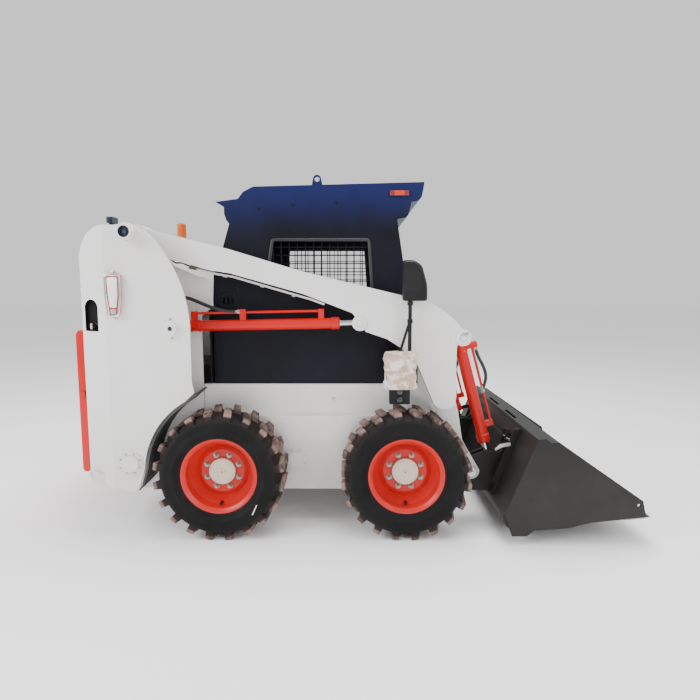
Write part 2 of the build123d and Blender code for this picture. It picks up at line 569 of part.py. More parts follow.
# Cab
def cab_side():
    """Right wall of the cab, from the rear lip to the front pillar, with its window and slots."""
    rear = [(0, PANEL_TOP), (2, 1383), (10, 1551), (70, 1707), (112, 1848), (95, 1871), (83, 1907), (83, 1948),
            (65, 1962), (198, 1972), (228, 2012), (273, 2036)]
    front = [(114, 2050), (105, 2007), (87, 1986), (44, 1976), (26, 1901), (13, 1885), (-42, 1875), (-4, 1632),
             (41, 1383), (93, 979), (95, PANEL_TOP)]
    wall = plate(at(CAB_REAR, rear) + at(FA, front), -CAB_Y, -CAB_Y + CAB_T)
    window = at(CAB_REAR, [(338, 1520), (373, WINDOW_TOP)]) + at(FA, [(-212, WINDOW_TOP), (-185, 1350)])
    wall -= plate(window, -CAB_Y, -CAB_Y + CAB_T)
    for k in range(3):
        x = CAB_REAR + 63 + 26 * k
        wall -= box(x, x + 14, -CAB_Y, -CAB_Y + CAB_T, 1364, 1413)
    return wall + rod(*BAR_PIVOT, -CAB_Y + CAB_T, -BAR_Y + 20, 9)


def side_screen():
    """Welded wire screen over the window, on the wall's inner face: level wires on upright ones."""
    y = -CAB_Y + CAB_T
    x0, x1 = CAB_REAR + 323, FA - 170
    slope = 170 / (FA - CAB_REAR - 523)      # of the window's lower edge
    screen = None
    for k in range(int((x1 - x0) / SCREEN_PITCH)):
        x = x0 + 45 + SCREEN_PITCH * k
        low = 1480 - (x - x0) * slope
        wire = box(x, x + SCREEN_WIRE, y, y + SCREEN_WIRE, low, WINDOW_TOP + 12)
        screen = wire if screen is None else screen + wire
    for k in range(8):
        z = WINDOW_TOP + 6 - SCREEN_PITCH * k
        start = max(x0, x0 + (1500 - z) / slope)
        screen += box(start, x1, y + SCREEN_WIRE - 1, y + 2 * SCREEN_WIRE - 1, z, z + SCREEN_WIRE)
    return screen


def cab_roof():
    """Roof with its rear lip, the header over the doorway and a lifting eye on each side."""
    top = at(CAB_REAR, [(273, 2036), (228, 2012), (198, 1972), (65, 1962), (31, 1978), (167, 1996), (201, 2038),
                        (261, 2068)]) + at(FA, [(120, 2094), (114, 2050)])
    roof = plate(top, -CAB_Y, CAB_Y)
    header = [(20, 2060), (114, 2060), (105, 2007), (87, 1986), (44, 1976), (26, 1901), (13, 1885), (-42, 1875),
              (-42, 1895), (0, 1903), (14, 1980)]
    roof += plate(at(FA, header), -CAB_Y + CAB_T, CAB_Y - CAB_T)
    x, z = EYE_PLATE
    eye = plate([(x - 34, z - 45), (x + 34, z - 44), (x + 24, z + 6), (x, z + EYE_PLATE_R, x - 24, z + 6)],
                -CAB_Y + 6, -CAB_Y + 18)
    eye -= rod(x, z, -CAB_Y + 6, -CAB_Y + 18, EYE_HOLE_R)
    return roof + eye + left(eye)


def cab_rear():
    """Rear wall that follows the side outline, with its window."""
    outer = [(0, PANEL_TOP), (2, 1383), (10, 1551), (70, 1707), (112, 1848), (95, 1871), (83, 1907), (83, 1948),
             (65, 1962), (113, 1965), (113, 1912), (123, 1884), (143, 1852), (99, 1697), (40, 1545), (32, 1383),
             (30, PANEL_TOP)]
    inner = CAB_Y - CAB_T
    wall = plate(at(CAB_REAR, outer), -inner, inner)
    return wall - box(CAB_REAR - 27, CAB_REAR + 173, -310, 310, 1400, 1780)


def save_cab():
    wall = cab_side()
    save("cab_side_right", wall)
    save("cab_side_left", left(wall))
    save("side_screens", *both(side_screen()))
    save("cab_roof", cab_roof())
    save("cab_rear", cab_rear())
    inner = CAB_Y - CAB_T
    gap = CASE_Y - CASE_T
    pan = plate(at(CAB_REAR, [(733, 880), (33, 880), (33, 850), (703, 850), (703, 440)])
                + at(FA, [(187, 440), (187, 470)]) + at(CAB_REAR, [(733, 470)]), -gap, gap)
    save("cab_floor", pan)
    seat = plate(at(CAB_REAR, [(173, 880), (693, 880), (723, 920), (703, 990), (293, 975), (233, 1460), (193, 1490),
                               (143, 1480), (153, 1000)]), -240, 240)
    save("seat", seat)
    lever = bar((FA - 330, -290, 475), (FA - 380, -290, 1010), 12)
    lever += bar((FA - 378, -290, 990), (FA - 386, -290, 1080), 20)
    save("control_levers", *both(lever + box(FA - 370, FA - 290, -330, -250, 470, 490)))
    (px, pz), (fx, fz) = BAR_PIVOT, BAR_FRONT
    arms = [bar((px, y, pz), (fx, y, fz), BAR_R - 3) for y in (-BAR_Y, BAR_Y)]
    eyes = both(rod(px, pz, -BAR_Y - 12, -BAR_Y + 12, 20))
    frame = rod(fx, fz, -BAR_Y - BAR_R, BAR_Y + BAR_R, BAR_R).fuse(*arms, *eyes)
    save("seat_bar", frame - rod(px, pz, -BAR_Y - 20, BAR_Y + 20, 9 + RUN_GAP))
    lamp = box(FA - 89, FA + 27, -CAB_Y - 14, -CAB_Y, 2011, 2045)
    save("marker_lamps", *both(lamp))


wheels()
save_frame()
save_outside()
save_boom()
save_cylinders()
save_bucket()
save_cab()
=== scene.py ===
import math

import bmesh
import bpy
import numpy as np
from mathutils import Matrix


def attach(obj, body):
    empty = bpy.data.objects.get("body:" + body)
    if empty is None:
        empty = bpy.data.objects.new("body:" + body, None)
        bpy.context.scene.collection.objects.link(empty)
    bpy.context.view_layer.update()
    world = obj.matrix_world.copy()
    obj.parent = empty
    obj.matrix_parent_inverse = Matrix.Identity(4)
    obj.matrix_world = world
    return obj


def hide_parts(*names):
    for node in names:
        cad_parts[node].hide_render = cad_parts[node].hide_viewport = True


# Looks of a skid steer loader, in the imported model's own frame: +X forward, +Y the machine's left, +Z up, the
# ground at 0. Places are in metres, and the tables of outlines and profiles in millimetres.
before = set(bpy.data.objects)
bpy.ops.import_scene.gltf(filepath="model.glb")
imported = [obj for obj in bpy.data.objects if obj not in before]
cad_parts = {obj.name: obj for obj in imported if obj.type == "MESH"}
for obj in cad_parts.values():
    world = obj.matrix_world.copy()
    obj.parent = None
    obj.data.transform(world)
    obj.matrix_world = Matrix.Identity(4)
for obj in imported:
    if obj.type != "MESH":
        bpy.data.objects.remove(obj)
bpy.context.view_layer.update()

MM = 0.001
OUT, ACROSS, UP = (0, -1, 0), (0, 1, 0), (0, 0, 1)      # out from the right side, to the left, upwards

# Places taken from the model's drawing: x along the machine, y half widths, and (x, z) of pins
REAR_AXLE, FRONT_AXLE, AXLE_Z = -0.8055, 0.2795, 0.38
WHEEL_Y = 0.668
DISC_Y = WHEEL_Y + 0.001        # outer face of the rim's disc
TOWER_Y = 0.76
ARM_Y = 0.625
MIRROR_Y = -0.685
CAB_BACK = REAR_AXLE - 0.088
TAIL = REAR_AXLE - 0.86
PIVOT = (REAR_AXLE - 0.47, 1.767)
LIFT_BASE = (REAR_AXLE - 0.248, 1.235)
LIFT_EYE = (FRONT_AXLE - 0.2695, 1.256)
KNEE = (FRONT_AXLE + 0.337, 1.171)
ROD_EYE = (FRONT_AXLE + 0.547, 0.406)
TIP = (FRONT_AXLE + 0.43, 0.324)


# Materials
class Signal:
    """A value, colour or vector inside a material. Arithmetic on values adds Math nodes."""

    def __init__(self, finish, socket):
        self.finish = finish
        self.socket = socket

    def _math(self, operation, *values):
        return self.finish.add("Math", dict(enumerate(values)), operation=operation)

    def __add__(self, other):
        return self._math("ADD", self, other)

    def __radd__(self, other):
        return self._math("ADD", other, self)

    def __sub__(self, other):
        return self._math("SUBTRACT", self, other)

    def __mul__(self, other):
        return self._math("MULTIPLY", self, other)

    def sine(self):
        return self._math("SINE", self)

    def root(self):
        return self._math("SQRT", self)

    def size(self):
        return self._math("ABSOLUTE", self)

    def clip(self):
        """The value, held between 0 and 1."""
        return self.finish.add("Clamp", {"Value": self})

    def rise(self, low, high):
        """0 below low and 1 above high, with a smooth step between; low may be the larger."""
        return self.finish.add("MapRange", {"Value": self, "From Min": low, "From Max": high},
                               interpolation_type="SMOOTHSTEP")


class Finish:
    """One material: its node tree, and the few building blocks that all finishes share. Names of sockets are
    written with underscores for spaces."""

    def __init__(self, name, **constants):
        self.material = bpy.data.materials.new(name)
        self.material.use_nodes = True
        self.tree = self.material.node_tree
        self.shader = self.tree.nodes["Principled BSDF"]
        for socket, value in constants.items():
            self.shader.inputs[socket.replace("_", " ")].default_value = value
        self.place = self.add("TexCoord", {}, "Object")

    def add(self, kind, inputs, output=0, **settings):
        """Adds a node: its settings first, then its sockets' values or links. Returns one output."""
        node = self.tree.nodes.new("ShaderNode" + kind)
        for key, value in settings.items():
            setattr(node, key, value)
        for key, value in inputs.items():
            if isinstance(value, Signal):
                self.tree.links.new(value.socket, node.inputs[key])
            else:
                node.inputs[key].default_value = value
        return Signal(self, node.outputs[output])

    def feed(self, **signals):
        """Links signals to the shader's sockets and returns the material."""
        for socket, signal in signals.items():
            self.tree.links.new(signal.socket, self.shader.inputs[socket.replace("_", " ")])
        return self.material

    def noise(self, scale, detail=4.0, rough=0.55, stretch=None, warp=0.0):
        """Fractal noise around 0.5 over the object's coordinates, stretched along axes if asked."""
        where = self.place
        if stretch:
            where = self.add("VectorMath", {0: where, 1: stretch}, "Vector", operation="MULTIPLY")
        return self.add("TexNoise", {"Vector": where, "Scale": scale, "Detail": detail, "Roughness": rough,
                                     "Distortion": warp}, "Fac")

    def axes(self, at=None):
        """The three coordinates as separate values."""
        split = self.add("SeparateXYZ", {0: at or self.place})
        return [Signal(self, output) for output in split.socket.node.outputs]

    def mix(self, share, a, b):
        """Colour a where share is 0 and b where it is 1; either is a signal or (red, green, blue)."""
        a, b = (colour if isinstance(colour, Signal) else (*colour, 1.0) for colour in (a, b))
        return self.add("Mix", {0: share, 6: a, 7: b}, 2, data_type="RGBA")

    def bump(self, height, depth, strength):
        """A normal from a height signal, depth metres high."""
        return self.add("Bump", {"Height": height, "Distance": depth, "Strength": strength})


DUST, PRIMER, MUD, CHALK = (0.3, 0.26, 0.22), (0.16, 0.15, 0.15), (0.27, 0.18, 0.155), (0.85, 0.85, 0.83)


def paint(name, colour, shade, rough, dust, coat=0.25, chips=0.0, gloss=0.5, top=None):
    """Sprayed enamel: slow tone drift, orange peel, dust that settles low down and in patches, small chips.
    top is a painted sky reflection: a colour mixed in towards the roof, where a cab's paint catches the sky."""
    f = Finish(name, Coat_Weight=coat, Coat_Roughness=0.12, Specular_IOR_Level=gloss)
    drift = f.noise(2.1, 3.0)
    speck = f.noise(38.0, 5.0, 0.7)
    z = f.axes()[2]
    low = z.rise(1.0, 0.18) * dust
    film = (low * (0.45 + f.noise(7.0, 6.0, 0.65)) + (speck - 0.5) * 0.1 * dust).clip()
    tone = f.mix(drift.rise(0.35, 0.68), colour, shade)
    # Painted sky reflection: the tone turns to top towards the roof.
    if top:
        tone = f.mix((z + (drift - 0.5) * 0.2).rise(1.78, 2.08), tone, top)
    dirty = f.mix(film, tone, DUST)
    worn = f.noise(85.0, 6.0, 0.75).rise(0.765, 0.79) * chips
    return f.feed(
        Base_Color=f.mix(worn, dirty, PRIMER),
        Roughness=(rough + (drift - 0.5) * 0.1 + film * 0.45 + (speck - 0.5) * 0.06).clip(),
        Normal=f.bump(f.noise(320.0, 2.0) * 0.5 + speck * 0.5, 0.0004, 0.35))


def wheel_rubber(name, x, y, chalk):
    """Tyre rubber for one wheel: dusty lug faces, clean black sidewalls with moulded rings, and on one tyre a
    stroke of chalk along (cos, sin). u and w are forward and up from the axle."""
    f = Finish(name, Specular_IOR_Level=0.16)
    u, _, w = f.axes(f.add("Mapping", {"Vector": f.place, "Location": (-x, -y, -AXLE_Z)}))
    radius = (u * u + w * w).root()
    tread = radius.rise(0.352, 0.366)
    patch = f.noise(9.0, 6.0, 0.7)
    grain = f.noise(160.0, 3.0)
    dust = (tread * (patch.rise(0.38, 0.62) * 0.75 + 0.12) + radius.rise(0.31, 0.35) * patch * 0.1).clip()
    base = f.mix(f.noise(5.0).rise(0.3, 0.7), (0.0035, 0.0035, 0.004), (0.008, 0.0075, 0.0075))
    if chalk:
        ahead, below, cos, sin = 0.2065, 0.1935, 0.416, 0.909
        along = (u - ahead) * cos + (w + below) * sin
        across = (u - ahead) * sin - (w + below) * cos
        stroke = along.size().rise(0.033, 0.031) * (across.size() + grain * 0.0012).rise(0.0036, 0.0028)
        base = f.mix(stroke, base, CHALK)
    rings = (radius * 520.0).sine() * radius.rise(0.338, 0.33) * radius.rise(0.262, 0.27)
    return f.feed(
        Base_Color=f.mix(dust, base, MUD),
        Roughness=(0.66 + dust * 0.3 + (grain - 0.5) * 0.15).clip(),
        Normal=f.bump(rings * 0.5 + grain, 0.0012, 0.5))


def moulded(name, colour, shade, rough=0.5, grain=420.0, depth=0.0003, gloss=0.5):
    """Moulded plastic or rubber: fine grain, slow tone drift and a dust bloom."""
    f = Finish(name, Specular_IOR_Level=gloss)
    drift = f.noise(6.0, 5.0, 0.6)
    fine = f.noise(grain, 2.0)
    return f.feed(
        Base_Color=f.mix(drift.rise(0.35, 0.7), colour, shade),
        Roughness=(rough + (drift - 0.5) * 0.25 + (fine - 0.5) * 0.1).clip(),
        Normal=f.bump(fine, depth, 0.6))


def bare_metal(name, colour, shade, rough, streak=(1, 8, 1)):
    """Ground or worn steel: scratches stretched along an axis, tone patches and a little rust bloom."""
    f = Finish(name, Metallic=1.0)
    lines = f.noise(18.0, 6.0, 0.7, streak)
    patch = f.noise(11.0, 5.0, 0.65)
    return f.feed(
        Base_Color=f.mix((patch.rise(0.45, 0.75) * 0.7 + lines * 0.3).clip(), colour, shade),
        Roughness=(rough + (lines - 0.5) * 0.25 + patch.rise(0.5, 0.8) * 0.2).clip(),
        Normal=f.bump(lines, 0.0003, 0.4))


def wrapping(name):
    """Crinkled wrapping paper: pale and pinkish, browner where it is folded, with creases in its relief and
    painted shade, a darker brown, along them.
    """
    f = Finish(name, Sheen_Weight=0.2)
    fold = f.noise(14.0, 6.0, 0.65, warp=1.2)
    crease = (f.noise(26.0, 4.0, 0.6, warp=2.0) - 0.5).size()
    # Tan where the paper is folded, and painted shade along the creases.
    tan_and_crease_shade = (fold.rise(0.42, 0.57) * 0.8 + crease.rise(0.05, 0.0) * 0.35).clip()
    return f.feed(
        Base_Color=f.mix(tan_and_crease_shade, (0.86, 0.78, 0.76), (0.5, 0.3, 0.2)),
        Roughness=(0.55 + fold * 0.25).clip(), Normal=f.bump(fold + crease * 1.5, 0.006, 0.8))


WHITE = paint("white_enamel", (0.8, 0.785, 0.775), (0.74, 0.715, 0.7), 0.3, 0.3, chips=0.6)
RED = paint("red_enamel", (0.58, 0.0045, 0.002), (0.49, 0.0035, 0.002), 0.34, 0.04, 0.08, 0.4, 0.3)
# The cab's last colour, a navy, is a painted sky reflection towards the roof.
CAB = paint("cab_enamel", (0.0035, 0.0035, 0.006), (0.005, 0.0055, 0.012), 0.4, 0.02, 0.03, 0.0, 0.16,
            (0.008, 0.012, 0.075))
BLACK = paint("black_enamel", (0.006, 0.006, 0.007), (0.011, 0.0105, 0.0105), 0.44, 0.05, 0.03, 0.8, 0.2)
LINER = moulded("liner_rubber", (0.045, 0.045, 0.048), (0.085, 0.08, 0.08), 0.75, 90.0, 0.001)
PLASTIC = moulded("black_plastic", (0.006, 0.006, 0.007), (0.012, 0.012, 0.013), gloss=0.22)
SEAT = moulded("seat_vinyl", (0.014, 0.014, 0.015), (0.026, 0.025, 0.025), 0.5, 260.0, 0.0006)
IRON = moulded("engine_iron", (0.035, 0.035, 0.037), (0.07, 0.055, 0.045), 0.65, 60.0, 0.002)
CHROME = bare_metal("rod_chrome", (0.72, 0.72, 0.74), (0.55, 0.55, 0.57), 0.12, (1, 40, 1))
STEEL = bare_metal("worn_steel", (0.36, 0.35, 0.34), (0.2, 0.155, 0.125), 0.38, (1, 30, 1))
ORANGE = moulded("beacon_lens", (0.66, 0.135, 0.001), (0.5, 0.08, 0.001), 0.26, 30.0, 0.0004, 0.3)
DARK_GLASS = moulded("dark_glass", (0.02, 0.02, 0.024), (0.055, 0.055, 0.065), 0.08, 90.0, 0.0005)
RED_LENS = moulded("red_lens", (0.62, 0.035, 0.02), (0.45, 0.02, 0.012), 0.12, 30.0, 0.0004)
CREAM = paint("cream_enamel", (0.72, 0.64, 0.5), (0.62, 0.54, 0.42), 0.38, 0.25, chips=0.5)
NAVY = moulded("navy_plastic", (0.012, 0.02, 0.042), (0.03, 0.042, 0.07), 0.35)
NUT_STEEL = bare_metal("nut_steel", (0.4, 0.37, 0.31), (0.22, 0.19, 0.15), 0.34)
BRASS = bare_metal("green_brass", (0.34, 0.36, 0.22), (0.22, 0.25, 0.17), 0.36)
ZINC = bare_metal("zinc_plate", (0.52, 0.52, 0.53), (0.34, 0.32, 0.3), 0.3)
LENS = moulded("white_lens", (0.95, 0.95, 0.96), (0.88, 0.88, 0.9), 0.1, 60.0, 0.0004)
GLASS = moulded("blue_grey_lens", (0.3, 0.32, 0.42), (0.46, 0.46, 0.55), 0.08, 90.0, 0.0006)
HOSE = moulded("hose_rubber", (0.01, 0.01, 0.012), (0.02, 0.02, 0.024), 0.42, 300.0, 0.0005)
SILVER = bare_metal("mirror_silver", (0.85, 0.86, 0.88), (0.8, 0.81, 0.83), 0.04, (1, 1, 1))
# Pale grey: a painted highlight on the black hitch's shelf, and the lever's plate.
GREY_STEEL_AND_HIGHLIGHT = moulded("grey_steel_and_painted_highlight", (0.62, 0.61, 0.62), (0.48, 0.46, 0.47), 0.38, 80.0, 0.0004)
WRAP = wrapping("lamp_wrapping")

WHEELS = [(end, side, x, out) for end, x in (("front", FRONT_AXLE), ("rear", REAR_AXLE))
          for side, out in (("right", -1), ("left", 1))]
TYRES = {f"tyre_{end}_{side}": wheel_rubber(f"tyre_rubber_{end}_{side}", x, out * WHEEL_Y,
                                            chalk=(end, side) == ("rear", "right"))
         for end, side, x, out in WHEELS}

# The record's slot of every finish that the new pieces have
SLOTS = {"white_paint": (WHITE, CREAM, LENS, WRAP), "black_paint": (BLACK,), "red_paint": (RED,),
         "black_plastic": (PLASTIC, NAVY, GLASS, DARK_GLASS, HOSE), "engine_iron": (IRON,),
         "worn_steel": (STEEL, NUT_STEEL, BRASS, ZINC, GREY_STEEL_AND_HIGHLIGHT), "rod_chrome": (CHROME, SILVER),
         "seat_cover": (SEAT,), "orange_lens": (ORANGE,), "red_lens": (RED_LENS,),
         "tyre_rubber": TYRES.values()}
SLOT_OF = {finish: slot for slot, finishes in SLOTS.items() for finish in finishes}

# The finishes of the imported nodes, by the start of their names; a later entry goes over an earlier one
DRESSED = {"chassis tower round_covers boom": WHITE, "fender_liners": LINER, "engine_block": IRON,
           "seat": SEAT,
           "engine_cover seat_bar hitch bucket": BLACK, "work_lamp control front_lamps mirrors": PLASTIC,
           "cab_ side_screens": CAB, "tail_door rim lift_barrel tilt_barrel": RED, "tail_lamps": RED_LENS,
           "lift_rod tilt_rod": CHROME, "beacon": ORANGE, "marker_lamps": NAVY, "cutting_edge": STEEL,
           **TYRES}
for starts, finish in DRESSED.items():
    for name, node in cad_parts.items():
        if name.startswith(tuple(starts.split())):
            node.data.materials.clear()
            node.data.materials.append(finish)


# Shapes: each is a pair (points, faces), worked out as whole arrays
def grid(points, wrap_u=False, wrap_v=False):
    """Faces over a grid of points P(u, v): each cell (i, j) joins P(i, j), P(i + 1, j), P(i + 1, j + 1)
    and P(i, j + 1). A wrapped direction joins its last line to its first."""
    n, m = points.shape[:2]
    i, j = np.meshgrid(np.arange(n if wrap_u else n - 1), np.arange(m if wrap_v else m - 1), indexing="ij")
    i, j = i.ravel(), j.ravel()
    k, l = (i + 1) % n, (j + 1) % m
    return points.reshape(-1, 3), np.stack([i * m + j, k * m + j, k * m + l, i * m + l], axis=1).tolist()


def lids(sides, rows):
    """The two faces that close the ends of a grid of turned lines."""
    turn = np.arange(sides)
    return [(turn[::-1] * rows).tolist(), (turn * rows + rows - 1).tolist()]


def turned(profile, centre, axis=OUT, sides=48, looped=False):
    """A profile turned about an axis: P(a, s) = centre + r(s) (first cos a + second sin a) + h(s) axis.
    profile holds (r, h) from back to front. Its ends are closed by flat faces, or joined if looped."""
    along = np.array(axis, float) / np.linalg.norm(axis)
    first = np.cross(UP if abs(along[2]) < 0.9 else (1, 0, 0), along)
    first /= np.linalg.norm(first)
    second = np.cross(along, first)
    r, h = np.array(profile, float).T * MM
    a = np.arange(sides) * 2 * math.pi / sides
    spokes = np.cos(a)[:, None] * first + np.sin(a)[:, None] * second
    points = centre + r[:, None] * spokes[:, None] + h[:, None] * along
    verts, faces = grid(points, wrap_u=True, wrap_v=looped)
    return verts, faces if looped else faces + lids(sides, len(r))


def joined(*shapes):
    """Several shapes as one: points end to end, faces counted on."""
    verts, faces, count = [], [], 0
    for v, f in shapes:
        verts.append(v)
        faces += [[k + count for k in face] for face in f]
        count += len(v)
    return np.concatenate(verts), faces


def hexagon(across, height, centre, axis=OUT):
    """A bolt head or nut: a six-sided prism with chamfered top edges, on a round washer."""
    r = across / math.sqrt(3)
    washer = turned([(r * 1.25, 0), (r * 1.25, height * 0.14), (r * 1.2, height * 0.2)], centre, axis, 20)
    return joined(washer, turned([(r, 0), (r, height * 0.82), (r * 0.88, height)], centre, axis, 6))


def swept(path, section, up=ACROSS, closed=False):
    """A section carried along a path: P(t, s) = path(t) + x(s) side(t) + y(s) lift(t), where side is square
    to the path's run and to up, and lift is square to both."""
    path = np.array(path, float)
    run = np.roll(path, -1, axis=0) - np.roll(path, 1, axis=0) if closed else np.gradient(path, axis=0)
    run /= np.linalg.norm(run, axis=1)[:, None]
    side = np.cross(run, up)
    side /= np.linalg.norm(side, axis=1)[:, None]
    lift = np.cross(side, run)
    x, y = section.T
    points = path[:, None] + x[:, None] * side[:, None] + y[:, None] * lift[:, None]
    verts, faces = grid(points, wrap_u=closed, wrap_v=True)
    m = len(section)
    if not closed:
        faces += [list(range(m)), [(len(path) - 1) * m + k for k in range(m)][::-1]]
    return verts, faces


def tube(path, radius, sides=12, up=ACROSS, closed=False, flat=1.0):
    """A round section (r cos a, flat r sin a) carried along a path."""
    a = np.arange(sides) * 2 * math.pi / sides
    return swept(path, np.stack([radius * np.cos(a), flat * radius * np.sin(a)], axis=1), up, closed)


def soft(value, power):
    """A cosine or sine bent towards a box's outline: sign(v) |v|^power."""
    return np.sign(value) * np.abs(value) ** power


def circle(x, y, z, radius, count=64, turn=0.0):
    """Points of a circle that faces along Y: (x + R cos a, y, z + R sin a)."""
    a = turn + np.arange(count) * 2 * math.pi / count
    return np.stack([x + radius * np.cos(a), 0 * a + y, z + radius * np.sin(a)], axis=1)


def bends(a, c, b, steps):
    """Curves from points A to points B, drawn towards C: P(t) = (1 - t)^2 A + 2 t (1 - t) C + t^2 B."""
    t = np.linspace(0, 1, steps)[None, :, None]
    curve = (1 - t) ** 2 * a[:, None] + 2 * t * (1 - t) * c[:, None] + t ** 2 * b[:, None]
    return curve.reshape(-1, c.shape[1])


def rounded(corners, radius, steps=6):
    """A closed outline in a plane, each corner replaced by a bend that starts and ends at this distance."""
    c = np.array(corners, float)
    back = np.roll(c, 1, axis=0) - c
    ahead = np.roll(c, -1, axis=0) - c
    a = c + back / np.linalg.norm(back, axis=1)[:, None] * radius
    b = c + ahead / np.linalg.norm(ahead, axis=1)[:, None] * radius
    return bends(a, c, b, steps)


def slab(outline, depth, edge=0.0):
    """A closed outline carried by the vector depth, its far rim drawn in by edge on the way."""
    depth = np.array(depth, float)
    inward = outline.mean(axis=0) - outline
    inward /= np.linalg.norm(inward, axis=1)[:, None]
    share = 1 - edge / np.linalg.norm(depth)
    rows = np.stack([outline, outline + depth * share, outline + depth + inward * edge])
    verts, faces = grid(rows, wrap_v=True)
    m = len(outline)
    return verts, faces + [list(range(m)), [2 * m + k for k in range(m)][::-1]]


def placed(points, at, plane="xz"):
    """Points of a plane, in millimetres from at. plane names the axes that they run along."""
    made = np.tile(np.array(at, float), (len(points), 1))
    made[:, ["xyz".index(axis) for axis in plane]] += np.array(points, float) * MM
    return made


def box(across, tall):
    """The corners of a rectangle with these half sizes."""
    return [(-across, -tall), (across, -tall), (across, tall), (-across, tall)]


def plate(points, at, corner, depth, edge=0.0, plane="xz"):
    """A slab from a table of corners in a plane, all in millimetres: rounded by corner, and carried by depth
    square to the plane."""
    outline = placed(points, at, plane)
    away = [0 if axis in plane else depth * MM for axis in "xyz"]
    return slab(rounded(outline, corner * MM) if corner else outline, away, edge * MM)


def mirrored(shape):
    """The same shape on the machine's other side: (x, y, z) to (x, -y, z), faces turned over."""
    verts, faces = shape
    return verts * [1, -1, 1], [face[::-1] for face in faces]


def added(name, data):
    """A new object with this data, at the origin."""
    made = bpy.data.objects.new(name, data)
    bpy.context.scene.collection.objects.link(made)
    return made


def piece(name, shape, finish, body="chassis", replaces=(), sharp=32, slot=None):
    """Makes the object, with faces outwards and smooth up to a sharp angle, and hangs it on a body. Its slot,
    the finish's if no other is given, is worked out and not used."""
    verts, faces = shape
    mesh = bpy.data.meshes.new(name)
    mesh.from_pydata(verts.tolist(), [], faces)
    work = bmesh.new()
    work.from_mesh(mesh)
    bmesh.ops.remove_doubles(work, verts=work.verts, dist=1e-6)
    bmesh.ops.recalc_face_normals(work, faces=work.faces)
    work.to_mesh(mesh)
    work.free()
    mesh.materials.append(finish)
    mesh.shade_smooth()
    mesh.set_sharp_from_angle(angle=math.radians(sharp))
    made = added(name, mesh)
    slot = slot or SLOT_OF[finish]
    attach(made, body)
    if replaces:
        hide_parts(*replaces)
    return made


def on_both(name, shape, finish, body="chassis", sharp=32):
    """The same piece on the right and the left; a body with sides is named by its stem and an underscore."""
    return [piece(f"{name}_{side}", made, finish, body + side if body.endswith("_") else body, sharp=sharp)
            for side, made in (("right", shape), ("left", mirrored(shape)))]


def weld(name, pin, y, radius, bead, body):
    """A weld round a pin's boss: a flat round section on a circle, its size 1 + 0.12 sin(2 pi s / 5 mm)."""
    path = circle(pin[0], y, pin[1], radius)
    ends = np.concatenate([path, path[:1]])
    s = np.concatenate([[0], np.cumsum(np.linalg.norm(np.diff(ends, axis=0), axis=1))])
    fine = np.linspace(0, s[-1], int(s[-1] / 0.0025), endpoint=False)
    line = np.stack([np.interp(fine, s, ends[:, k]) for k in range(3)], axis=1)
    verts, faces = tube(line, bead, 8, closed=True, flat=0.8)
    ripple = (1 + 0.12 * np.sin(fine * 2 * math.pi / 0.005))[:, None, None]
    verts = (verts.reshape(len(fine), 8, 3) - line[:, None]) * ripple + line[:, None]
    on_both(name, (verts.reshape(-1, 3), faces), WHITE, body, 60)


# Wheels
LUGS = 20                               # in each of the two rows
LUG_TIP, CROWN = 0.38, 0.352           # radius over the lugs and between them
ROW_END, OVERLAP = 0.126, 0.012         # how far a row reaches from the tyre's middle, and past it
LEAN, HALF_TIP = 0.012, 0.021           # a lug's slant and half its width
CARCASS = [(208.5, 101), (222.2, 101.2), (223.2, 112.8), (228, 115.8), (237, 119), (240, 117.8), (246, 122.2),
           (261, 128.5), (263, 129.8), (268, 129.8), (270, 128.6), (300, 129.8), (318, 129), (325.5, 127.3),
           (327.5, 126.2), (328.5, 125), (329.5, 124.3), (338, 112), (346, 100), (351.2, 90), (352.4, 70),
           (352.8, 40), (353, 12.8), (353, 12.2), (353, 11.3)]


def tyre(end, side, x, out):
    """The carcass profile (r, z) turned about the axle, its radius raised by the lugs. With u the angle, less
    the lugs' slant at z, and d the angle to a lug's centre, the radius is
    r(z) + (flat / cos(d) - r(z)) K(z) L(d), where K is 1 over that row's width and L is 1 over a lug."""
    wall = np.array(CARCASS) * MM
    r, z = np.concatenate([wall * [1, -1], wall[::-1]]).T
    pitch = 2 * math.pi / LUGS
    span = ROW_END + OVERLAP
    shift = math.asin(LEAN / CROWN)
    middle = LEAN / CROWN * (1 - 2 * OVERLAP / span) - shift
    steps = np.radians([-4.05, -3.89, -3.27, -3.07, -1.0, 1.0, 3.07, 3.27, 3.89, 4.05])
    lines = np.concatenate([middle + steps, pitch / 2 - middle + steps])
    u = (lines + pitch * np.arange(LUGS)[:, None]).ravel()[:, None]
    reach = np.clip(z, -ROW_END, ROW_END)
    theta = u - 2 * LEAN / span * reach / CROWN
    flat = math.sqrt(LUG_TIP ** 2 - (HALF_TIP + LEAN) ** 2)
    radius = r + 0 * u
    for row, way in ((0, 1), (1, -1)):
        d = (u - way * middle - row * pitch / 2 + pitch / 2) % pitch - pitch / 2
        rise = np.interp(np.abs(np.degrees(d)), [3.07, 3.27, 3.89], [1.0, 0.93, 0.0])
        width = np.interp(way * z, [-0.0126, -0.0118, 0.1246, 0.1262], [0, 1, 1, 0]) * (r > 0.327)
        tilt = way * LEAN / CROWN * (1 - 2 * (way * reach + OVERLAP) / span)
        top = np.minimum(flat / np.cos(d + tilt), LUG_TIP)
        radius = radius + (top - r) * rise * width
    theta = theta + shift - math.atan2(HALF_TIP + LEAN, flat)
    points = np.stack([x + radius * np.cos(theta), -out * (0 * radius + z) + out * WHEEL_Y,
                       AXLE_Z + out * radius * np.sin(theta)], axis=2)
    piece(f"tyre_{end}_{side}_tread", grid(points, wrap_u=True, wrap_v=True), TYRES[f"tyre_{end}_{side}"],
          f"wheel_{end}_{side}", [f"tyre_{end}_{side}"], 40)


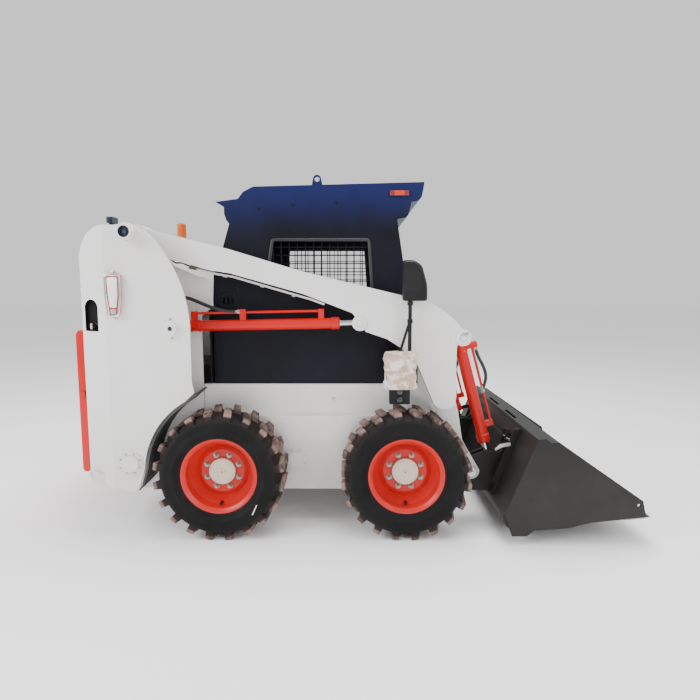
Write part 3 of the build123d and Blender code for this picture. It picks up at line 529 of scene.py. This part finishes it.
def wheel_fittings(end, side, x, out):
    """Hub cap, eight nuts on studs, and the valve in the rim's dish."""
    body, hub, axis = f"wheel_{end}_{side}", (x, out * DISC_Y, AXLE_Z), (0, out, 0)
    cap = [(78.5, 0), (78.5, 18.5), (76.5, 22.5), (66, 23.8), (64, 26.2), (34, 26.8), (31, 25.2), (18, 25.2),
           (16.5, 29), (0.5, 30)]
    piece(f"hub_cap_{end}_{side}", turned(cap, hub, axis, 64), CREAM, body)
    studs = []
    for at in circle(*hub, 0.1015, 8, math.pi / 8):
        studs += [hexagon(24, 16, at, axis), turned([(7.8, 0), (7.8, 24), (6.2, 26)], at, axis, 14)]
    piece(f"wheel_nuts_{end}_{side}", joined(*studs), NUT_STEEL, body)
    valve = turned([(8.5, 0), (8.5, 6), (4.5, 10), (4.5, 26), (6.2, 27), (6.2, 38), (4.5, 40)],
                   (x, out * (WHEEL_Y + 0.041), AXLE_Z - 0.178), axis, 16)
    dot = turned([(4.2, 29), (4.2, 30.8), (3, 31.4), (0.5, 31.4)], hub, axis, 16)
    piece(f"valve_{end}_{side}", joined(valve, dot), PLASTIC, body)


for wheel in WHEELS:
    tyre(*wheel)
    wheel_fittings(*wheel)


# Frame and towers
def tower_fittings():
    """Cap and lip of the boom's pivot, ring, plug and screws of the lift cylinder's pin, and bolts."""
    (px, pz), (bx, bz) = PIVOT, LIFT_BASE
    at = (px, -TOWER_Y - 0.0295, pz)
    liner = turned([(30, 0), (31.8, 1), (31.8, 26.5), (30, 27.5)], at, sides=40, looped=True)
    floor = turned([(30, 0), (30, 4), (13, 5), (11.5, 12), (0.5, 13)], at, sides=40)
    on_both("pivot_pin_cap", joined(liner, floor), NAVY, sharp=25)
    lip = [(47, 0), (47.5, 4), (45.5, 7), (33.5, 7), (32, 4)]
    on_both("pivot_boss_lip", turned(lip, (px, -TOWER_Y - 0.0515, pz), sides=56, looped=True), WHITE)
    rim = [(35.5, 0), (35.5, 3), (30, 4.5), (14.2, 4.5), (13.8, 1)]
    on_both("lift_pin_ring", turned(rim, (bx, -TOWER_Y - 0.0242, bz), looped=True), WHITE)
    plug = [(12.5, 0), (12.5, 3), (8.5, 4.5), (5.5, 3.5), (0.5, 3.5)]
    on_both("lift_pin_plug", turned(plug, (bx, -TOWER_Y - 0.0145, bz), sides=32), IRON)
    screws = placed([(-4, 52), (4, -56)], (bx, -TOWER_Y, bz))
    on_both("lift_pin_screws", joined(*[hexagon(10, 5, at) for at in screws]), ZINC)
    spots = [*circle(REAR_AXLE - 0.513, -TOWER_Y - 0.008, 0.451, 0.061, 8, 0.39),
             *circle(REAR_AXLE + 0.421, -0.523, 0.402, 0.061, 8, 0.39)]
    on_both("cover_bolts", joined(*[hexagon(11, 5.5, at) for at in spots]), ZINC)
    on_both("ledge_bolt", hexagon(16, 8, (REAR_AXLE + 0.655, -0.475, 0.775)), ZINC)


def tail_lamp():
    """Bezel round the lamp's face, a white lens that narrows downwards, a clear foot, ears and screws."""
    at = (REAR_AXLE, -TOWER_Y - 0.024, 0)
    rim = placed([(-598, 1533), (-518, 1533), (-518, 1420), (-532, 1307), (-584, 1307), (-598, 1420)], at)
    bezel = tube(rounded(rim, 0.012), 0.0072, closed=True, flat=0.9)
    on_both("tail_lamp_bezel", bezel, CHROME, sharp=60)
    lens = [(-587, 1521), (-530, 1521), (-532, 1420), (-540, 1352), (-576, 1352), (-584, 1420)]
    on_both("tail_lamp_lens", plate(lens, at, 10, -7, 4), LENS, sharp=50)
    foot = [(-576, 1345), (-541, 1345), (-544, 1316), (-573, 1316)]
    on_both("tail_lamp_foot", plate(foot, at, 6, -6, 3), GLASS, sharp=50)
    ends = placed([(-558, 1546), (-558, 1294)], (REAR_AXLE, -TOWER_Y, 0))
    on_both("tail_lamp_ears", joined(*[plate(box(12, 9), end, 6, -4, 1.2) for end in ends]), CHROME, sharp=50)
    on_both("tail_lamp_screws", joined(*[hexagon(8, 4, end - [0, 0.004, 0]) for end in ends]), ZINC)


def battery_switch():
    """Painted shade in the pocket in the slanted corner, a thin black sheet over its walls and back, and the
    switch's body and key.
    """
    rear = REAR_AXLE - 0.8
    middle, half, sill, spring = rear + 0.075, 0.0508, 1.2142, 1.346
    a = np.linspace(0, math.pi, 20)
    arch = np.stack([middle + half * np.cos(a), spring + half * np.sin(a)], axis=1)
    x, z = np.concatenate([[(middle - half, sill), (middle + half, sill)], arch]).T
    corner = -TOWER_Y + (REAR_AXLE - 0.613 - x) * 0.11 / 0.187
    # Painted shade: a thin black sheet over the pocket's walls and back, where shade falls in the recess.
    walls = np.array([(x, corner + 0.0012, z), (x, 0 * x - 0.6392, z)]).transpose(0, 2, 1)
    verts, faces = grid(walls, wrap_v=True)
    pocket_shade_sheet = (verts, faces + [list(range(len(x), 2 * len(x)))])
    for shade_layer in on_both("switch_pocket_shade", pocket_shade_sheet, BLACK, sharp=50):
        wall = shade_layer.modifiers.new("wall", "SOLIDIFY")
        wall.thickness, wall.offset = 0.0006, 0.0
    knob = [(20.5, 0), (20.5, 10), (18.5, 13), (12, 13), (11, 16), (0.5, 16)]
    on_both("battery_switch", turned(knob, (rear + 0.068, -0.664, 1.242), sides=36), PLASTIC)
    on_both("battery_key", plate(box(4.5, 16), (rear + 0.068, -0.679, 1.242), 4, -12, 1.5), CREAM, sharp=50)


tower_fittings()
tail_lamp()
battery_switch()
weld("pivot_weld", PIVOT, -TOWER_Y, 0.0475, 0.0035, "chassis")
weld("lift_base_weld", LIFT_BASE, -TOWER_Y, 0.0375, 0.003, "chassis")


# Boom
def boom_fittings():
    """Pin caps and welds on the knee and lift eye, two oil pipes in clamps, and the hitch pin's head."""
    face = -ARM_Y - 0.014
    (kx, kz), (ex, ez) = KNEE, LIFT_EYE
    knee, eye = (kx, face, kz), (ex, face, ez)
    cap = joined(turned([(44, 0), (44, 3), (36, 4.5), (22.5, 4.5), (22.5, 2)], knee, looped=True),
                 turned([(17.5, -1), (17.5, 6), (15.5, 8), (0.5, 8)], knee, sides=32))
    on_both("knee_pin_cap", cap, WHITE, "boom")
    keeper = plate([(-6, 10), (30, 26), (24, 40), (-14, 24)], (kx, face - 0.0045, kz), 5, -5, 1)
    on_both("knee_pin_keeper", keeper, ZINC, "boom", 50)
    on_both("knee_bolt", hexagon(13, 7, (kx + 0.02, face - 0.0095, kz + 0.028)), ZINC, "boom")
    cap = joined(turned([(39, 0), (39, 3), (31, 4.5), (20.5, 4.5), (20.5, 1)], eye, looped=True),
                 turned([(18.5, -1), (18.5, 5), (16.5, 7), (0.5, 7)], eye, sides=32))
    on_both("lift_eye_cap", cap, WHITE, "boom")
    weld("knee_weld", KNEE, -ARM_Y - 0.006, 0.0472, 0.003, "boom")
    weld("lift_eye_weld", LIFT_EYE, -ARM_Y - 0.006, 0.0422, 0.003, "boom")
    run = [(-160, 1580), (-150, 1577), (-34.5, 1548), (61, 1533), (525, 1398.5), (605, 1369)]
    nut = [(6.5, -20), (10.5, -18), (10.5, -4), (9, -2), (9, 10), (12.5, 12), (12.5, 26), (7, 28)]
    fittings = []
    for k, finish in enumerate((BLACK, WHITE)):
        start = np.array([REAR_AXLE, -0.538 - 0.028 * k, -0.004 * k])
        on_both(f"boom_pipe_{k}", tube(placed(run, start), 0.0065), finish, "boom", 60)
        fittings.append(turned(nut, start + [-0.166, 0, 1.582], (-0.085, 0, 0.023), 6))
    on_both("boom_pipe_fittings", joined(*fittings), BRASS, "boom", 40)
    clamps = []
    pad = [(-14, -528, -6), (14, -528, -6), (14, -576, -10), (-14, -576, -10)]
    for at in placed([(20, 1540), (240, 1481.7), (425, 1426.5)], (REAR_AXLE, 0, 0)):
        clamps += [slab(rounded(placed(pad, at, "xyz"), 0.005), (0, 0, -0.005), 0.001),
                   hexagon(10, 6, at - [0, 0.552, 0.012], (0, 0, -1))]
    on_both("pipe_clamps", joined(*clamps), ZINC, "boom", 50)
    head = [(30, 0), (30, 5), (27, 7), (12, 7), (10.5, 11), (0.5, 11.5)]
    on_both("hitch_pin_head", turned(head, (TIP[0], -0.532, TIP[1]), sides=40), ZINC, "bucket")


boom_fittings()


# Cylinders
def by_rod(base, eye, y, distance, up=0.0):
    """A point by a cylinder: distance along it from its base pin, and up square to it in the side view."""
    (x0, z0), (x1, z1) = base, eye
    length = math.hypot(x1 - x0, z1 - z0)
    cx, cz = (x1 - x0) / length, (z1 - z0) / length
    return (x0 + cx * distance - cz * up, y, z0 + cz * distance + cx * up)


def cylinder_fittings(stem, base, eye, y, barrel, shown, port, top, way):
    """Gland collar and weld rings on a barrel of this radius in millimetres, whose rod shows by shown, and a
    port block at the distance port, up to top, with its nut towards way."""
    run = np.array([eye[0] - base[0], 0, eye[1] - base[1]])
    collar = [(0.5, -52), (4.5, -49), (4.5, -8), (1, -4), (-4, 0.5), (-14, 0.5)]
    ring = [(0.2, -6), (3, -3), (3, 3), (0.2, 6)]
    rings = [turned([(barrel + r, h) for r, h in profile], by_rod(base, eye, y, distance), run)
             for profile, distance in ((collar, np.linalg.norm(run) - shown), (ring, 0.06), (ring, 0.11))]
    on_both(f"{stem}_gland", joined(*rings), RED, f"{stem}_barrel_")
    foot = (barrel - 3) * MM
    corners = [by_rod(base, eye, y + dy * MM, port + dx * MM, foot) for dx, dy in box(19, 17)]
    lift = np.subtract(by_rod(base, eye, y, port, top), by_rod(base, eye, y, port, foot))
    on_both(f"{stem}_ports", slab(rounded(corners, 0.005), lift, 0.002), RED, f"{stem}_barrel_", 50)
    nut = turned([(12.5, 0), (12.5, 13), (9.5, 15), (9.5, 24), (7, 26)],
                 by_rod(base, eye, y, port + way * 0.02, top - 0.014), way * run, 6)
    on_both(f"{stem}_port_nuts", nut, ZINC, f"{stem}_barrel_", 40)


def hose(name, points, body, thickness):
    """A free hose on a quadratic B-spline with clamped ends. Both sit in fittings, so its real length is the
    line's: each span runs between the middles of two runs, bent towards their shared control point."""
    p = np.array(points, float)
    knots = np.concatenate([p[:1], (p[1:-2] + p[2:-1]) / 2, p[-1:]])
    curve = bends(knots[:-1], p[1:-1], knots[1:], 40)
    for side, way in (("right", 1), ("left", -1)):
        line = bpy.data.curves.new(f"{name}_{side}", "CURVE")
        line.dimensions = "3D"
        line.bevel_depth, line.bevel_resolution, line.resolution_u = thickness / 2, 5, 12
        line.use_fill_caps = True
        spline = line.splines.new("NURBS")
        spline.points.add(len(points) - 1)
        for knot, (x, y, z) in zip(spline.points, points):
            knot.co = (x, way * y, z, 1.0)
        spline.order_u = 3
        spline.use_endpoint_u = True
        line.materials.append(HOSE)
        made = added(f"{name}_{side}", line)
        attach(made, body + side if body.endswith("_") else body)
        x, y, z = points[0]
        way * y


cylinder_fittings("lift", LIFT_BASE, LIFT_EYE, -0.57, 33, 0.118, 0.37, 0.094, -1)
cylinder_fittings("tilt", KNEE, ROD_EYE, -0.445, 36, 0.093, 0.082, 0.104, 1)
tee = turned([(9.5, -22), (12.5, -20), (12.5, 20), (9.5, 22)], by_rod(KNEE, ROD_EYE, -0.445, 0.372, 0.07),
             (ROD_EYE[0] - KNEE[0], 0, ROD_EYE[1] - KNEE[1]), 6)
on_both("tilt_hose_tee", tee, ZINC, "tilt_barrel_")

# Control points: y, distance along the cylinder and height over it for the hoses, (x, y, z) for the cable
LIFT_LINE = [(-570, 326, 80), (-570, 270, 80), (-566, 200, 100), (-556, 120, 134), (-545, 40, 168),
             (-540, -30, 176), (-540, -70, 130), (-545, -60, 60), (-560, -20, 30)]
TILT_LINE = [(-445, 120, 90), (-446, 165, 92), (-449, 220, 108), (-450, 280, 114), (-448, 330, 100),
             (-445, 368, 74)]
CABLE_LINE = [(-188, -538, 1588), (-210, -539, 1594), (-240, -544, 1612), (-278, -544, 1607),
              (-312, -538, 1634), (-352, -534, 1650), (-385, -540, 1680)]
for stem, base, eye, line, size in (("lift", LIFT_BASE, LIFT_EYE, LIFT_LINE, 0.022),
                                    ("tilt", KNEE, ROD_EYE, TILT_LINE, 0.02)):
    points = [by_rod(base, eye, *(np.array(row) * MM)) for row in line]
    hose(f"{stem}_hose", points, f"{stem}_barrel_", size)
hose("arm_cable", placed(CABLE_LINE, (REAR_AXLE, 0, 0), "xyz").tolist(), "boom", 0.01)


# Lamps, mirrors and beacon
def lamp_wrap(side, way):
    """Paper wrap round a front lamp: a rounded box section swelled by three waves in angle and height, flared
    at foot and shoulder, and gathered towards the pole at the top."""
    a = np.linspace(0, 2 * math.pi, 121)[None, :]
    t = np.linspace(0, 1, 46)[:, None]
    rise = np.clip(t / 0.84, 0, 1)
    draw = np.clip((t - 0.84) / 0.16, 0, 1)
    wave = (np.sin(7 * a + 11 * t) * 0.0022 + np.sin(12 * a - 23 * t + 1.3) * 0.0016
            + np.sin(4 * a + 31 * t) * 0.0018 + 0.0058)
    flare = 0.006 * np.exp(-((rise - 0.06) / 0.1) ** 2) + 0.007 * np.exp(-((rise - 0.8) / 0.12) ** 2)
    c, s = soft(np.cos(a), 0.2), soft(np.sin(a), 0.2)
    keep = 1 - draw * 0.8
    x = FRONT_AXLE - 0.036 + draw * 0.04 + (0.082 + wave + flare) * c * keep
    y = way * (MIRROR_Y + (0.0355 + wave + flare * 0.6) * s * keep)
    z = 0.882 + 0.2085 * rise + 0.01 * draw + 0.0022 * np.sin(5 * a + 3 * t) * (1 - draw)
    p = np.stack([x, y, z], axis=2)
    wrap = piece(f"lamp_wrap_{side}", grid(p), WRAP, sharp=24)


def round_lamps():
    """Two round lamps on each lower block."""
    spots = [(FRONT_AXLE - 0.0395, -0.72, z) for z in (0.8655, 0.819)]
    rim = [(22.2, 0), (22.2, 5), (20.5, 6.8), (18.2, 6.2), (17.6, 3)]
    lens = [(17.8, 0), (17.8, 3.5), (14, 5.8), (7.5, 7.4), (0.5, 7.9)]
    on_both("round_lamp_rims", joined(*[turned(rim, at, sides=40, looped=True) for at in spots]), PLASTIC)
    on_both("round_lamp_lenses", joined(*[turned(lens, at, sides=40) for at in spots]), DARK_GLASS)


def mirror(side, replaces):
    """Case with a rounded front corner, its glass on the cab's side, a braced pole and its clamps."""
    x, y = FRONT_AXLE, MIRROR_Y
    case = [(-26, 1388), (114, 1388), (112, 1480), (82, 1588), (36, 1620), (-26, 1620)]
    pane = [(-17, 1398), (104, 1398), (102, 1478), (75, 1580), (34, 1611), (-17, 1611)]
    parts = [plate(case, (x, y + 0.004, 0), 18, -34, 14), plate(case, (x, y + 0.004, 0), 18, 24, 3),
             tube(np.linspace([x + 0.018, y, 1.086], [x + 0.018, y, 1.497], 24), 0.011, 16),
             tube(np.linspace([x - 0.038, y, 1.092], [x + 0.016, y, 1.27], 16), 0.008, 14),
             plate(box(43, 16), (x - 0.011, y, 1.088), 8, 8, 1.5, "xy")]
    parts += [turned([(10.5, -12), (16.5, -10), (16.5, 10), (10.5, 12)], (x + 0.018, y, z), UP, 28)
              for z in (1.272, 1.374)]
    shape, glass = joined(*parts), plate(pane, (x, y + 0.0275, 0), 14, 2.2, 0.8)
    if side == "left":
        shape, glass = mirrored(shape), mirrored(glass)
    piece(f"mirror_{side}", shape, PLASTIC, replaces=replaces, sharp=40)
    piece(f"mirror_glass_{side}", glass, SILVER, sharp=50)


def beacon():
    """A stepped base, and a lens r(h) (1 + 0.02 cos 30 a), fluted where it is upright."""
    x, y, z = REAR_AXLE - 0.598, 0.64, 1.808
    base = [(40, 0), (40, 8), (37.2, 11), (37.2, 27), (39.5, 30), (39.5, 38), (37.5, 41), (34, 41)]
    piece("beacon_base", turned(base, (x, y, z), UP, 64), PLASTIC)
    lens = [(33.5, 39), (35.7, 41), (35.7, 46), (34.8, 48), (34.6, 75), (34.2, 105), (33.6, 135), (33, 148),
            (33.6, 150), (33.4, 156), (31, 163), (24, 167.5), (12, 169.5), (0.4, 170)]
    r, h = np.array(lens).T * MM
    sides = 240
    a = (np.arange(sides) * 2 * math.pi / sides)[:, None]
    flute = 1 + 0.02 * np.cos(30 * a) * ((h > 0.047) & (h < 0.149))
    points = np.stack([x + r * flute * np.cos(a), y + r * flute * np.sin(a), z + h + 0 * a], axis=2)
    verts, faces = grid(points, wrap_u=True)
    piece("beacon_lens", (verts, faces + lids(sides, len(r))), ORANGE, replaces=["beacon"], sharp=50)


def work_lamp():
    """A rounded housing on the right tower with cooling ribs, its lens to the rear, on a strap."""
    x, y, z = REAR_AXLE - 0.594, -0.6975, 1.839
    case = rounded(placed(box(40.5, 17.5), (x, y, z), "yz"), 0.009)

    def inset(across, tall, behind):
        """The housing's outline scaled about its middle, at a distance in front of its rear face."""
        return case * [0, across, tall] + [x + behind, (1 - across) * y, (1 - tall) * z]

    housing = [slab(case, (0.016, 0, 0), 0.003)]
    housing += [slab(inset(1, 0.985, 0.015 + 0.004 * k), (0.0018, 0, 0), 0.0003) for k in range(5)]
    strap = swept([(x + 0.015, -0.7025, height) for height in (1.8085, 1.812, 1.8225)],
                  rounded(np.array(box(12.5, 9)) * MM, 0.003))
    foot = turned([(19, 0), (19, 3), (12, 4), (8, 4)], (x + 0.015, -0.7025, 1.808), UP, 28)
    shape = joined(*housing, slab(inset(0.9, 0.9, 0.014), (0.02, 0, 0), 0.002), strap, foot)
    piece("work_lamp_housing", shape, NAVY, replaces=["work_lamp"], sharp=40)
    piece("work_lamp_lens", slab(inset(0.88, 0.8, 0), (-0.0035, 0, 0), 0.0015), GLASS, sharp=50)


def marker_lamps():
    """Red lens in the middle of each marker lamp, with ribs on both sides."""
    x, y, z = FRONT_AXLE - 0.031, -0.464, 2.028
    on_both("marker_lens", plate(box(30, 14.5), (x, y, z), 4, -4, 1.5), RED_LENS, sharp=50)
    ribs = [plate(box(1.2, 12.5), (x + way * gap, y, z), 0, -2.2, 0.4)
            for way in (-1, 1) for gap in (0.036, 0.042, 0.048, 0.054)]
    on_both("marker_ribs", joined(*ribs), RED_LENS, sharp=50)


lamp_wrap("right", 1)
lamp_wrap("left", -1)
round_lamps()
mirror("right", ["mirrors"])
mirror("left", ())
beacon()
work_lamp()
marker_lamps()


# Cab
def window_trims():
    """A lipped rubber channel round each side window and the rear one, and the bolts of the cab's sides."""
    c = CAB_BACK
    lip = rounded(np.array([(-10, -3), (10, -3), (10, 3), (4, 7.5), (-4, 7.5), (-10, 3)]) * MM, 0.0022, 4)
    side = placed([(338, 1520), (373, 1752), (961, 1752), (988, 1350)], (c, -0.4515, 0))
    on_both("side_window_trim", swept(rounded(side, 0.016, 8), lip * [1, -1], closed=True), HOSE, sharp=60)
    up = placed([(2.8, 1400), (10, 1551), (70, 1707), (91.7, 1780)], (c - 0.001, -0.31, 0))
    down = (up * [1, -1, 1])[::-1]
    across = np.linspace(0, 1, 8)[1:-1, None]
    top, sill = up[-1] + (down[0] - up[-1]) * across, down[-1] + (up[0] - down[-1]) * across
    rear = np.concatenate([up, top, down, sill])
    piece("rear_window_trim", swept(rear, lip, (-1, 0, 0.3), True), HOSE, sharp=60)
    spots = placed([(60, 1450), (60, 1330), (160, 1330), (160, 1450), (290, 1940), (500, 1960), (760, 1975),
                    (250, 1680)], (c, -0.45, 0))
    on_both("cab_bolts", joined(*[hexagon(12, 6, at) for at in spots]), BLACK)


def cushion(centre, along, normal, half):
    """A crowned pad: P(a, b) = centre + L C(b) C(a) along + W C(b) S(a) across + H S(b) normal, with soft
    cosines C and sines S. Its sides pull in by 1.6% between the corners, and its face sinks along two sewn
    channels by 7 mm exp(-(w / 6 mm)^2). Returns the pad and its welt."""
    across = np.cross(normal, along)
    a = np.linspace(0, 2 * math.pi, 160, endpoint=False)[:, None]
    b = np.linspace(-math.pi / 2, math.pi / 2, 61)[None, :]
    flat, crown = 0.26, 0.42
    pull = 1 - 0.016 * np.cos(2 * a) ** 2
    length = soft(np.cos(b), crown) * soft(np.cos(a), flat) * half[0] * pull
    width = soft(np.cos(b), crown) * soft(np.sin(a), flat) * half[1] * pull
    dome = 0.9 + 0.1 * (1 - (length / half[0]) ** 2) * (1 - (width / half[1]) ** 2)
    height = soft(np.sin(b), 0.62) * half[2] * dome
    for channel in (-0.105, 0.105):
        sunk = np.exp(-((width - channel) / 0.006) ** 2) * 0.007
        height = height - sunk * (height > 0) * np.clip(1.6 - 2 * np.abs(length / half[0]) ** 6, 0, 1)
    length, width, height = length[..., None], width[..., None], height[..., None]
    points = centre + length * along + width * across + height * normal
    rim = centre + (soft(np.cos(a), flat) * half[0] * along + soft(np.sin(a), flat) * half[1] * across) * pull
    return grid(points, wrap_u=True), tube(rim, 0.0042, 8, normal, True)


def seat():
    """Pan and back shell of moulded plastic, with two sewn pads that have welts round their rims."""
    c = CAB_BACK
    lean, facing = np.array([-0.0713, 0, 0.9975]), np.array([0.9975, 0, 0.0713])
    low, low_welt = cushion((c + 0.5, 0, 0.95), (1, 0, 0), UP, (0.213, 0.232, 0.044))
    back, back_welt = cushion((c + 0.213, 0, 1.23), lean, facing, (0.245, 0.225, 0.046))
    piece("seat_cushion", low, SEAT, replaces=["seat"], sharp=60)
    piece("back_cushion", back, SEAT, sharp=60)
    piece("seat_welts", joined(low_welt, back_welt), PLASTIC, sharp=60, slot="seat_cover")
    pan = [(180, -222), (690, -222), (705, 0), (690, 222), (180, 222)]
    shell = [(-262, -228), (235, -215), (257, 0), (235, 215), (-262, 228)]
    corners = [lean * s * MM + [c + 0.156, -t * MM, 1.23] for s, t in shell]
    bracket = [(150, 905), (240, 905), (215, 1000), (158, 1060)]
    parts = [plate(pan, (c, 0, 0.8805), 30, 30, 8, "xy"),
             slab(rounded(corners, 0.035), facing * 0.014, 0.005)]
    parts += [plate(bracket, (c, y, 0), 12, 10, 2) for y in (-0.205, 0.195)]
    piece("seat_shell", joined(*parts), PLASTIC, sharp=45)


def lever_parts():
    """Ribbed grip over each lever's top with a red button, and a rubber bellows at its foot."""
    x, y, lean = FRONT_AXLE, -0.29, (-0.008, 0, 0.09)
    grip = [(15, -3), (21.2, 0), (22.6, 6), (21.4, 20), (22.9, 34), (21.4, 48), (22.7, 62), (21.2, 78),
            (16.5, 88.5), (8.5, 93.2), (0.5, 94.5)]
    boot = [(38, 0), (39, 4), (32, 12), (36.5, 20), (27.5, 30), (32, 38), (22, 48), (25.5, 55), (15, 66),
            (13.5, 70)]
    on_both("lever_grip", turned(grip, (x - 0.378, y, 0.99), lean, 36), PLASTIC, sharp=60)
    on_both("lever_boot", turned(boot, (x - 0.3314, y, 0.49), (-0.05, 0, 0.535), 40), HOSE, sharp=60)
    button = turned([(7.5, 0), (7.5, 4), (6, 5.5), (0.5, 6)], (x - 0.386, y, 1.0835), lean, 20)
    on_both("lever_button", button, RED)


def bar_pad():
    """Foam sleeve on the seat bar's cross tube, with a moulded ring at each end."""
    half = [(24, 0), (23.5, 222), (25.5, 232), (23, 238), (14.5, 240)]
    profile = [(r, -h) for r, h in half[:0:-1]] + half
    sleeve = turned(profile, (CAB_BACK + 0.743, 0, 1.19), ACROSS, 40)
    piece("seat_bar_sleeve", sleeve, HOSE, "seat_bar", sharp=60)


window_trims()
seat()
lever_parts()
bar_pad()


# Tail door
def tail_door_parts():
    """Slanted blades behind the louvre slots, and a rubber bead on the rim's inner edge."""
    blades = [plate([(1.5, 3), (4, 1.5), (26, 25.5), (23.5, 27)], (TAIL, -0.3295, 0.56 + 0.052 * k), 0, 659)
              for k in range(10)]
    piece("louvre_blades", joined(*blades), RED, "tail_door", sharp=40)
    path = rounded(placed(box(605, 413), (TAIL + 0.0455, 0, 0.785), "yz"), 0.03)
    piece("door_seal", tube(path, 0.006, 10, (1, 0, 0), True), HOSE, "tail_door", sharp=60)


tail_door_parts()


# Hitch and bucket
BACK = np.array([0.3692, 0, 0.9294])        # up along the bucket's back


def behind(gap, y, up):
    """Points behind the bucket's back, gap away from it and up along it from its lower corner."""
    x = FRONT_AXLE + 0.556 + BACK[0] * up - BACK[2] * gap
    return np.stack([x, y, 0.179 + BACK[2] * up + BACK[0] * gap], axis=1)


def hitch_parts():
    """Painted highlight on the hitch's shelf, a thin pale sheet over its top, its gap to the back 46 mm -
    sqrt(R^2 - (y - notch)^2) inside the two round notches, and the lever's plate and grip."""
    y = np.linspace(-0.558, -0.4, 160)
    gap, shelf = np.full_like(y, 0.0445), 0.3622
    for notch in (-0.47, -0.53):
        inside = np.clip(0.0175 ** 2 - (y - notch) ** 2, 0, None)
        gap = np.where(inside > 0, np.minimum(gap, 0.046 - np.sqrt(inside)), gap)
    edge, rear = behind(gap, y, shelf), behind(0.003 + 0 * y, y, shelf)
    outline = np.concatenate([edge, rear[[-1, 0]]])
    rows = np.stack([edge, rear])
    lift = BACK * 0.0018
    highlight_sheet = joined(grid(np.stack([outline, outline + lift]), wrap_v=True), grid(rows + lift), grid(rows))
    # Painted highlight: a pale sheet over the top of the black shelf, where light falls.
    on_both("shelf_painted_highlight", highlight_sheet, GREY_STEEL_AND_HIGHLIGHT, "bucket", 40)
    lever = [(556, 477), (562, 466), (600, 489), (657, 499), (657, 521), (591, 509)]
    on_both("lever_plate", plate(lever, (FRONT_AXLE, -0.5602, 0), 4, -2.2, 0.7), GREY_STEEL_AND_HIGHLIGHT, "bucket", 50)
    line = [(560, -566, 471), (545, -568, 476), (530, -572, 487), (522, -574, 503), (519, -574, 528)]
    grip = tube(placed(line, (FRONT_AXLE, 0, 0), "xyz"), 0.0075, 14)
    on_both("hitch_lever_grip", grip, PLASTIC, "bucket", 60)


def edge_bolts():
    """Domed plough bolts along the cutting edge."""
    head = [(14.5, -1), (14.5, 1), (12.5, 3.5), (7.5, 5.5), (0.5, 6)]
    heads = [turned(head, (FRONT_AXLE + 1.276, y, 0.1632), (-0.09, 0, 1), 24)
             for y in np.linspace(-0.72, 0.72, 9)]
    piece("edge_bolts", joined(*heads), STEEL, "bucket")


hitch_parts()
edge_bolts()


# Stage, light and camera
floor_mesh = bpy.data.meshes.new("studio_floor")
floor_mesh.from_pydata([(x, y, 0.0) for x, y in box(40, 40)], [], [(0, 1, 2, 3)])
floor_finish = Finish("studio_floor", Base_Color=(0.97, 0.97, 0.97, 1.0), Roughness=0.9)
floor_mesh.materials.append(floor_finish.material)
floor = added("studio_floor", floor_mesh)

world = bpy.data.worlds.new("studio_light")
world.use_nodes = True
sky = world.node_tree.nodes["Background"].inputs
sky["Color"].default_value = (1.0, 1.0, 1.0, 1.0)
sky["Strength"].default_value = 0.95
bpy.context.scene.world = world


def soft_light(name, place, aim, power, width):
    """A square soft box at place, turned to aim."""
    lamp = bpy.data.lights.new(name, "AREA")
    lamp.energy, lamp.size = power, width
    holder = added(name, lamp)
    back = np.subtract(place, aim)
    holder.location = place
    turn = math.atan2(back[1], back[0]) + math.pi / 2
    holder.rotation_euler = (math.atan2(math.hypot(back[0], back[1]), back[2]), 0, turn)


soft_light("key_light", (-5.8, -3.6, 4.2), (0, 0, 0.9), 430, 4.0)
soft_light("fill_light", (4.0, -5.0, 3.4), (0, 0, 0.9), 150, 3.5)
soft_light("top_light", (0.5, 0.5, 6.5), (0, 0, 0.5), 520, 4.5)

lens = bpy.data.cameras.new("camera")
lens.lens, lens.sensor_width = 28.13, 36.0
camera = added("camera", lens)
camera.location = (-0.0364, -3.829, 1.465)
camera.rotation_euler = (math.radians(90 - 6.53), 0, math.radians(0.2))
bpy.context.scene.camera = camera
